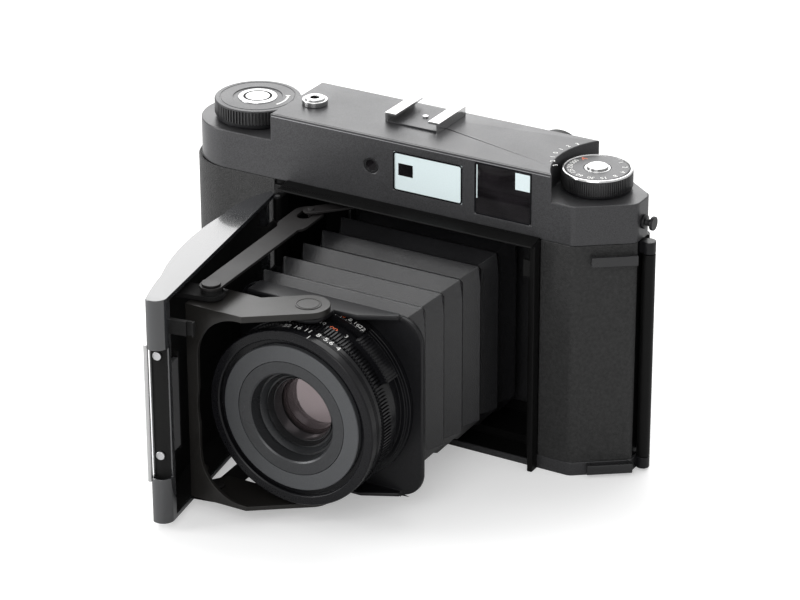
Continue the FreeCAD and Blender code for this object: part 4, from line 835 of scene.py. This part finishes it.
def select_corners(piece, indices):
    mesh = bmesh.from_edit_mesh(piece.data)
    for vert in mesh.verts:
        vert.select_set(vert.index in indices)
    mesh.select_flush_mode()
    bmesh.update_edit_mesh(piece.data)


def reshape(piece, corners):
    # Bring the selected loop of eight corners to new half widths and heights, pair by pair.
    loop = {v.index: v.co - axis_point for v in bmesh.from_edit_mesh(piece.data).verts if v.select}
    pairs = []
    for side in (1, -1):
        half = sorted((i for i in loop if loop[i].z * side > 0), key=lambda i: -abs(loop[i].x))
        pairs += [half[:2], half[2:]]
    moves = [(pair, abs(loop[pair[0]].x), loop[pair[0]].z, new) for pair, new in zip(pairs, corners)]
    for pair, old_x, old_z, new in moves:
        select_corners(piece, pair)
        bpy.ops.transform.resize(value=(new[0] * MM / old_x, 1, new[1] * MM / old_z),
                                 center_override=axis_point)
    select_corners(piece, loop)


# %% [markdown]
# The circle becomes the front loop, and each extrusion is reshaped as soon as it is made. The
# last loop turns outwards into the flange that is glued round the film gate.

# %% One fold after another
bpy.ops.mesh.primitive_circle_add(vertices=8, radius=20 * MM, fill_type="NOTHING")
bellows = bpy.context.object
bellows.name = "bellows_folded"
bellows.location = axis_point
bellows.rotation_euler = (math.pi / 2, math.radians(22.5), 0)
bpy.ops.object.transform_apply(location=True, rotation=True, scale=True)
enter(bellows, "VERT")
bpy.ops.mesh.select_all(action="SELECT")
reshape(bellows, fold_corners(False, 0))
for i in range(2 * FOLDS):
    bpy.ops.mesh.extrude_region_move(TRANSFORM_OT_translate={"value": (0, fold_step * MM, 0)})
    reshape(bellows, fold_corners(i % 2 == 0, i))
bpy.ops.mesh.extrude_region_move(TRANSFORM_OT_translate={"value": (0, 0.1 * MM, 0)})
reshape(bellows, GATE_FLANGE)
bpy.ops.mesh.select_all(action="SELECT")
bpy.ops.mesh.normals_make_consistent(inside=False)
leave()
modify(bellows, "SOLIDIFY", thickness=0.7 * MM, offset=-1.0, use_even_offset=False)
soften(bellows, 0.3, angle=20, segments=2)
settle(bellows, bellows_leather, "camera_body", "bellows_cloth", "bellows")
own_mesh(bellows)
print("bellows faces", len(bellows.data.polygons), "box", [round(v * 1000, 1) for v in bellows.dimensions])

# %% [markdown]
# ## The advance knob
# The knob's skirt carries 80 ribs. Its top is turned: a low outer land, a ring with a raised
# lip, and a polished cap in the middle. A bent arrow on the ring shows which way to wind.

# %% Advance knob
KNOB = (-66.8, 17.8, 0)
knob = ribbed("knob_grip", 80, 14.5, 15.1, 101.2, 105.9, spot=KNOB, axis="Z")
soften(knob, 0.06, segments=1)
settle(knob, rib_black, "film_advance", "knob_black", "advance_knob")
skirt = lathe("knob_skirt", [(0, 99.6), (14.4, 99.6), (14.6, 99.8), (14.6, 101.3), (0, 101.3)], KNOB, "Z")
soften(skirt, 0.1)
settle(skirt, black_satin, "film_advance", "knob_black")
knob_top = [(0, 105.8), (15.0, 105.8), (15.1, 105.95), (14.7, 106.3), (13.3, 106.35), (13.2, 106.2),
            (12.9, 106.2), (12.8, 106.35), (8.7, 106.4), (8.5, 106.1), (7.3, 106.1), (0, 106.1)]
crown = lathe("knob_crown", knob_top, KNOB, "Z")
soften(crown, 0.06)
settle(crown, cover_satin, "film_advance", "knob_black")
cap_section = [(0, 106.05), (6.9, 106.05), (6.9, 106.25), (6.6, 106.45), (5.1, 106.5), (5.0, 106.3),
               (4.3, 106.3), (4.2, 106.5), (1.4, 106.52), (1.3, 106.35), (0, 106.35)]
knob_cap = lathe("knob_cap", cap_section, KNOB, "Z")
soften(knob_cap, 0.1)
settle(knob_cap, chrome, "film_advance", "knob_black")
# Painted shade: a dull black ring laid in the cap's groove.
cap_groove_shade = lathe("knob_groove_painted_shade", ring(4.98, 4.32, 106.28, 106.46, 0.02), KNOB, "Z")
settle(cap_groove_shade, dull_black, "film_advance", "knob_black")
shaft_section = [(0, 74.0), (2.5, 74.0), (2.5, 74.3), (4.0, 74.3), (4.0, 99.7), (0, 99.7)]
shaft = lathe("knob_shaft", shaft_section, KNOB, "Z")
soften(shaft, 0.1)
settle(shaft, steel, "film_advance", "knob_black")
print("knob grip faces", len(knob.data.polygons))

# %% [markdown]
# The arrow is a flat arc, spun from a short bar. Its last edge loop is widened.

# %% The winding arrow
ARROW_R = 10.6
ARROW_HALF = 0.35
near, far_out = ARROW_R - ARROW_HALF, ARROW_R + ARROW_HALF
arrow = trace([(near, 106.34), (far_out, 106.34), (far_out, 106.4), (near, 106.4), (near, 106.34)])
bpy.ops.mesh.select_all(action="SELECT")
bpy.ops.transform.rotate(value=math.radians(20), orient_axis="Z", center_override=(0, 0, 0))
bpy.ops.mesh.spin(steps=12, angle=math.radians(-52), center=(0, 0, 0), axis=(0, 0, 1))
bpy.ops.transform.resize(value=(3.0, 3.0, 1), orient_type="GLOBAL")
bpy.ops.mesh.extrude_region_move(TRANSFORM_OT_translate={"value": (0, 0, 0)})
bpy.ops.mesh.select_all(action="SELECT")
bpy.ops.mesh.remove_doubles(threshold=0.001 * MM)
bpy.ops.mesh.fill_holes(sides=0)
bpy.ops.mesh.normals_make_consistent(inside=False)
leave()
stand_up(arrow, "knob_arrow", KNOB, "Z")
settle(arrow, white_paint, "film_advance", "knob_black")
knob_centre = place(*KNOB)
spans = [math.degrees(math.atan2(v.co.y - knob_centre.y, v.co.x - knob_centre.x))
         for v in arrow.data.vertices]
print("arrow spans", round(min(spans)), "to", round(max(spans)), "degrees")

# %% [markdown]
# ## The speed dial
# Finer ribs, a bright double edge round the top, figures on the land inside it, and the
# chrome lock button in the middle with its own ring.

# %% Speed dial
DIAL = (65.2, 19.2, 0)
dial = ribbed("dial_grip", 96, 11.55, 12.0, 100.6, 105.6, spot=DIAL, axis="Z")
soften(dial, 0.05, segments=1)
settle(dial, rib_black, "shutter_dial", "knob_black", "speed_dial")
dial_foot = lathe("dial_foot", [(0, 99.6), (11.5, 99.6), (11.6, 99.7), (11.6, 100.7), (0, 100.7)], DIAL, "Z")
soften(dial_foot, 0.08)
settle(dial_foot, black_satin, "shutter_dial", "knob_black")
edge_section = [(10.9, 105.5), (11.85, 105.5), (11.95, 105.75), (11.7, 106.25), (11.2, 106.3),
                (10.9, 106.0), (10.9, 105.5)]
dial_edge = lathe("dial_edge", edge_section, DIAL, "Z")
soften(dial_edge, 0.04)
settle(dial_edge, chrome, "shutter_dial", "knob_black")
land_section = [(4.6, 105.5), (10.6, 105.5), (10.6, 106.1), (10.4, 106.2), (4.7, 106.2), (4.6, 106.1),
                (4.6, 105.5)]
dial_land = lathe("dial_land", land_section, DIAL, "Z")
soften(dial_land, 0.05)
settle(dial_land, cover_satin, "shutter_dial", "knob_black")
dial_ring = lathe("dial_ring", ring(4.5, 3.65, 105.5, 106.3, 0.2), DIAL, "Z")
soften(dial_ring, 0.05)
settle(dial_ring, chrome, "shutter_dial", "knob_black")
dial_stem = lathe("dial_stem", [(0, 91.3), (4.0, 91.3), (4.0, 99.7), (0, 99.7)], DIAL, "Z")
soften(dial_stem, 0.1)
settle(dial_stem, steel, "shutter_dial", "knob_black")
print("dial grip faces", len(dial.data.polygons))

# %% [markdown]
# The shutter speeds go round the dial's land, with their feet to the middle. The second scale
# is on the cover, in an arc beside the dial.

# %% Figures on the dial and round it
COVER_TOP = 109.0
LAND_TOP = 106.22


def on_top(words, size, centre, degrees, radius, z):
    turn = math.radians(degrees)
    out = Vector((math.cos(turn), math.sin(turn), 0))
    spot = Vector((centre[0], centre[1], z)) + out * radius
    return figure(words, size, spot, (out.y, -out.x, 0), out)


speeds = ["500", "250", "125", "60", "30", "15", "8", "4", "2", "1"]
dial_marks = [on_top(words, 2.5, DIAL, 175 + 27 * i, 9.0, LAND_TOP) for i, words in enumerate(speeds)]
gather("dial_figures", dial_marks, white_paint, "shutter_dial", "knob_black")
slow_mark = [on_top("A", 3.0, DIAL, 148, 8.8, LAND_TOP)]
gather("dial_mark", slow_mark, orange_paint, "shutter_dial", "knob_black")
values = ["3", "2", "1", "0", "1", "2", "3"]
value_marks = [on_top(words, 2.4, DIAL, 228 - 14 * i, 14.9, COVER_TOP + 0.02)
               for i, words in enumerate(values)]
gather("value_figures", value_marks, white_paint, "camera_body", "cover_metal")
print("speeds:", len(speeds), "values:", len(values))

# %% [markdown]
# ## The accessory shoe
# Only the two rails of the shoe are polished, while its floor has the cover's finish. Each rail
# is a wall cut once near its top, and the upper part of its inner side is pulled out into the
# lip that holds a flash by its foot.

# %% The accessory shoe
SHOE_X = -2.2
SHOE_HALF = 10.5


def bar(name, x, y, z):
    # A block between two x, two y and two z values.
    bpy.ops.mesh.primitive_cube_add(size=1)
    piece = bpy.context.object
    piece.name = name
    piece.location = place(*[(low + high) / 2 for low, high in (x, y, z)])
    piece.scale = [(high - low) * MM for low, high in (x, y, z)]
    only(piece)
    bpy.ops.object.transform_apply(location=True, rotation=True, scale=True)
    return piece


shoe_floor = bar("shoe_floor", (SHOE_X - SHOE_HALF, SHOE_X + SHOE_HALF), (13.3, 31.7),
                 (COVER_TOP, COVER_TOP + 0.6))
soften(shoe_floor, 0.1)
settle(shoe_floor, cover_satin, "camera_body", "chrome_trim", "hot_shoe")
for side, name in ((-1, "shoe_rail_left"), (1, "shoe_rail_right")):
    wall = sorted((SHOE_X + side * 9.35, SHOE_X + side * 10.55))
    rail = bar(name, wall, (13.25, 31.75), (COVER_TOP, 112.6))
    enter(rail)
    bpy.ops.mesh.select_all(action="SELECT")
    bpy.ops.mesh.bisect(plane_co=place(0, 0, 111.7), plane_no=(0, 0, 1))
    pick_faces(rail, lambda middle, normal: -side * normal.x > 0.9 and middle.z > 111.7 * MM)
    bpy.ops.mesh.extrude_region_move(TRANSFORM_OT_translate={"value": (-side * 3.05 * MM, 0, 0)})
    leave()
    soften(rail, 0.15)
    settle(rail, chrome, "camera_body", "chrome_trim")
print("shoe rails stand", round(rail.dimensions.z * 1000, 2), "mm high")

# %% [markdown]
# ## Windows
# The two finder windows sit in the cover, each with a light lip under it: a painted highlight
# where the lower sill catches the light. The bright one shows the small dark rangefinder patch.
# On the viewfinder glass, thin pale panes paint a reflection at its upper right and a highlight
# line at its left edge.

# %% Windows
patch = bar("range_patch", (0.0, 5.6), (0.14, 0.2), (96.9, 101.3))
soften(patch, 0.03)
settle(patch, window_dark, "camera_body", "frosted_glass")

# Painted reflection: a pale pane on the viewfinder glass.
reflection_pane = bar("finder_painted_reflection", (44.6, 50.2), (0.12, 0.2), (101.0, 107.0))
soften(reflection_pane, 0.03)
settle(reflection_pane, frosted, "camera_body", "window_glass")

# Painted highlight: a thin pale line at the viewfinder's left edge.
highlight_pane = bar("finder_painted_highlight", (30.0, 30.35), (0.12, 0.2), (95.0, 107.0))
soften(highlight_pane, 0.03)
settle(highlight_pane, frosted, "camera_body", "window_glass")

# Light lips on the window sills: painted highlights.
for name, low, high, z in (("lip_bright_painted_highlight", -1.7, 24.3, 91.25), ("lip_finder_painted_highlight", 29.6, 50.4, 89.35)):
    lip_highlight = bar(name, (low, high), (0.02, 0.5), (z - 0.05, z + 0.3))
    soften(lip_highlight, 0.08)
    settle(lip_highlight, cover_painted_highlight, "camera_body", "cover_metal")
print("panes on the windows:", [piece.name for piece in (patch, reflection_pane, highlight_pane)])

# %% [markdown]
# Near the front edge of the raised block runs a fine groove, whose shade is painted as a dark
# hairline laid on the top, and under it a light strip is a painted highlight where the edge
# catches the light.

# %% Groove of the block: painted shade and edge highlight
# Painted shade: a dark strip where the groove lies.
groove_shade_strip = bar("block_groove_painted_shade", (-50.2, 57.2), (0.75, 0.95), (COVER_TOP - 0.01, COVER_TOP + 0.02))
soften(groove_shade_strip, 0.01)
settle(groove_shade_strip, dull_black, "camera_body", "cover_metal")
# Painted highlight: a light strip along the block's front edge.
edge_highlight_strip = bar("block_edge_painted_highlight", (-50.0, 57.6), (-0.03, 0.06), (108.1, 108.35))
soften(edge_highlight_strip, 0.01)
settle(edge_highlight_strip, cover_painted_highlight, "camera_body", "cover_metal")
print("groove_shade_strip", round(groove_shade_strip.dimensions.x * 1000, 1), "mm long")

# %% [markdown]
# The windows sit behind thin black frames with round corners. Each frame is a plate with
# beveled corners, inset once, and opened in the middle. The round window has a turned frame.

# %% Frames of the windows


def window_frame(name, x, z, half_x, half_z, width=0.55, corner=1.2, thick=0.2, proud=0.03):
    bpy.ops.mesh.primitive_plane_add(size=2 * MM)
    frame_piece = bpy.context.object
    frame_piece.name = name
    frame_piece.scale = (half_x, half_z, 1)
    frame_piece.rotation_euler = (math.pi / 2, 0, 0)
    frame_piece.location = place(x, -proud, z)
    bpy.ops.object.transform_apply(location=True, rotation=True, scale=True)
    enter(frame_piece, "VERT")
    bpy.ops.mesh.select_all(action="SELECT")
    bpy.ops.mesh.bevel(offset=corner * MM, segments=5, affect="VERTICES")
    bpy.ops.mesh.select_all(action="SELECT")
    bpy.ops.mesh.inset(thickness=width * MM)
    bpy.ops.mesh.delete(type="FACE")
    leave()
    modify(frame_piece, "SOLIDIFY", thickness=thick * MM, offset=-1.0)
    soften(frame_piece, 0.04, segments=1)
    settle(frame_piece, barrel_black, "camera_body", "cover_metal")
    return frame_piece


bright_frame = window_frame("bright_window_frame", 11.3, 98.2, 13.3, 7.1)
finder_frame = window_frame("finder_window_frame", 40.0, 98.6, 10.7, 9.4)
round_frame = lathe("round_window_frame", ring(2.9, 2.0, -0.03, 0.28, 0.1), (-10.6, 0, 98.3))
settle(round_frame, polished_black, "camera_body", "cover_metal")
print("window frames", [round(v * 1000, 1) for v in bright_frame.dimensions],
      [round(v * 1000, 1) for v in finder_frame.dimensions])
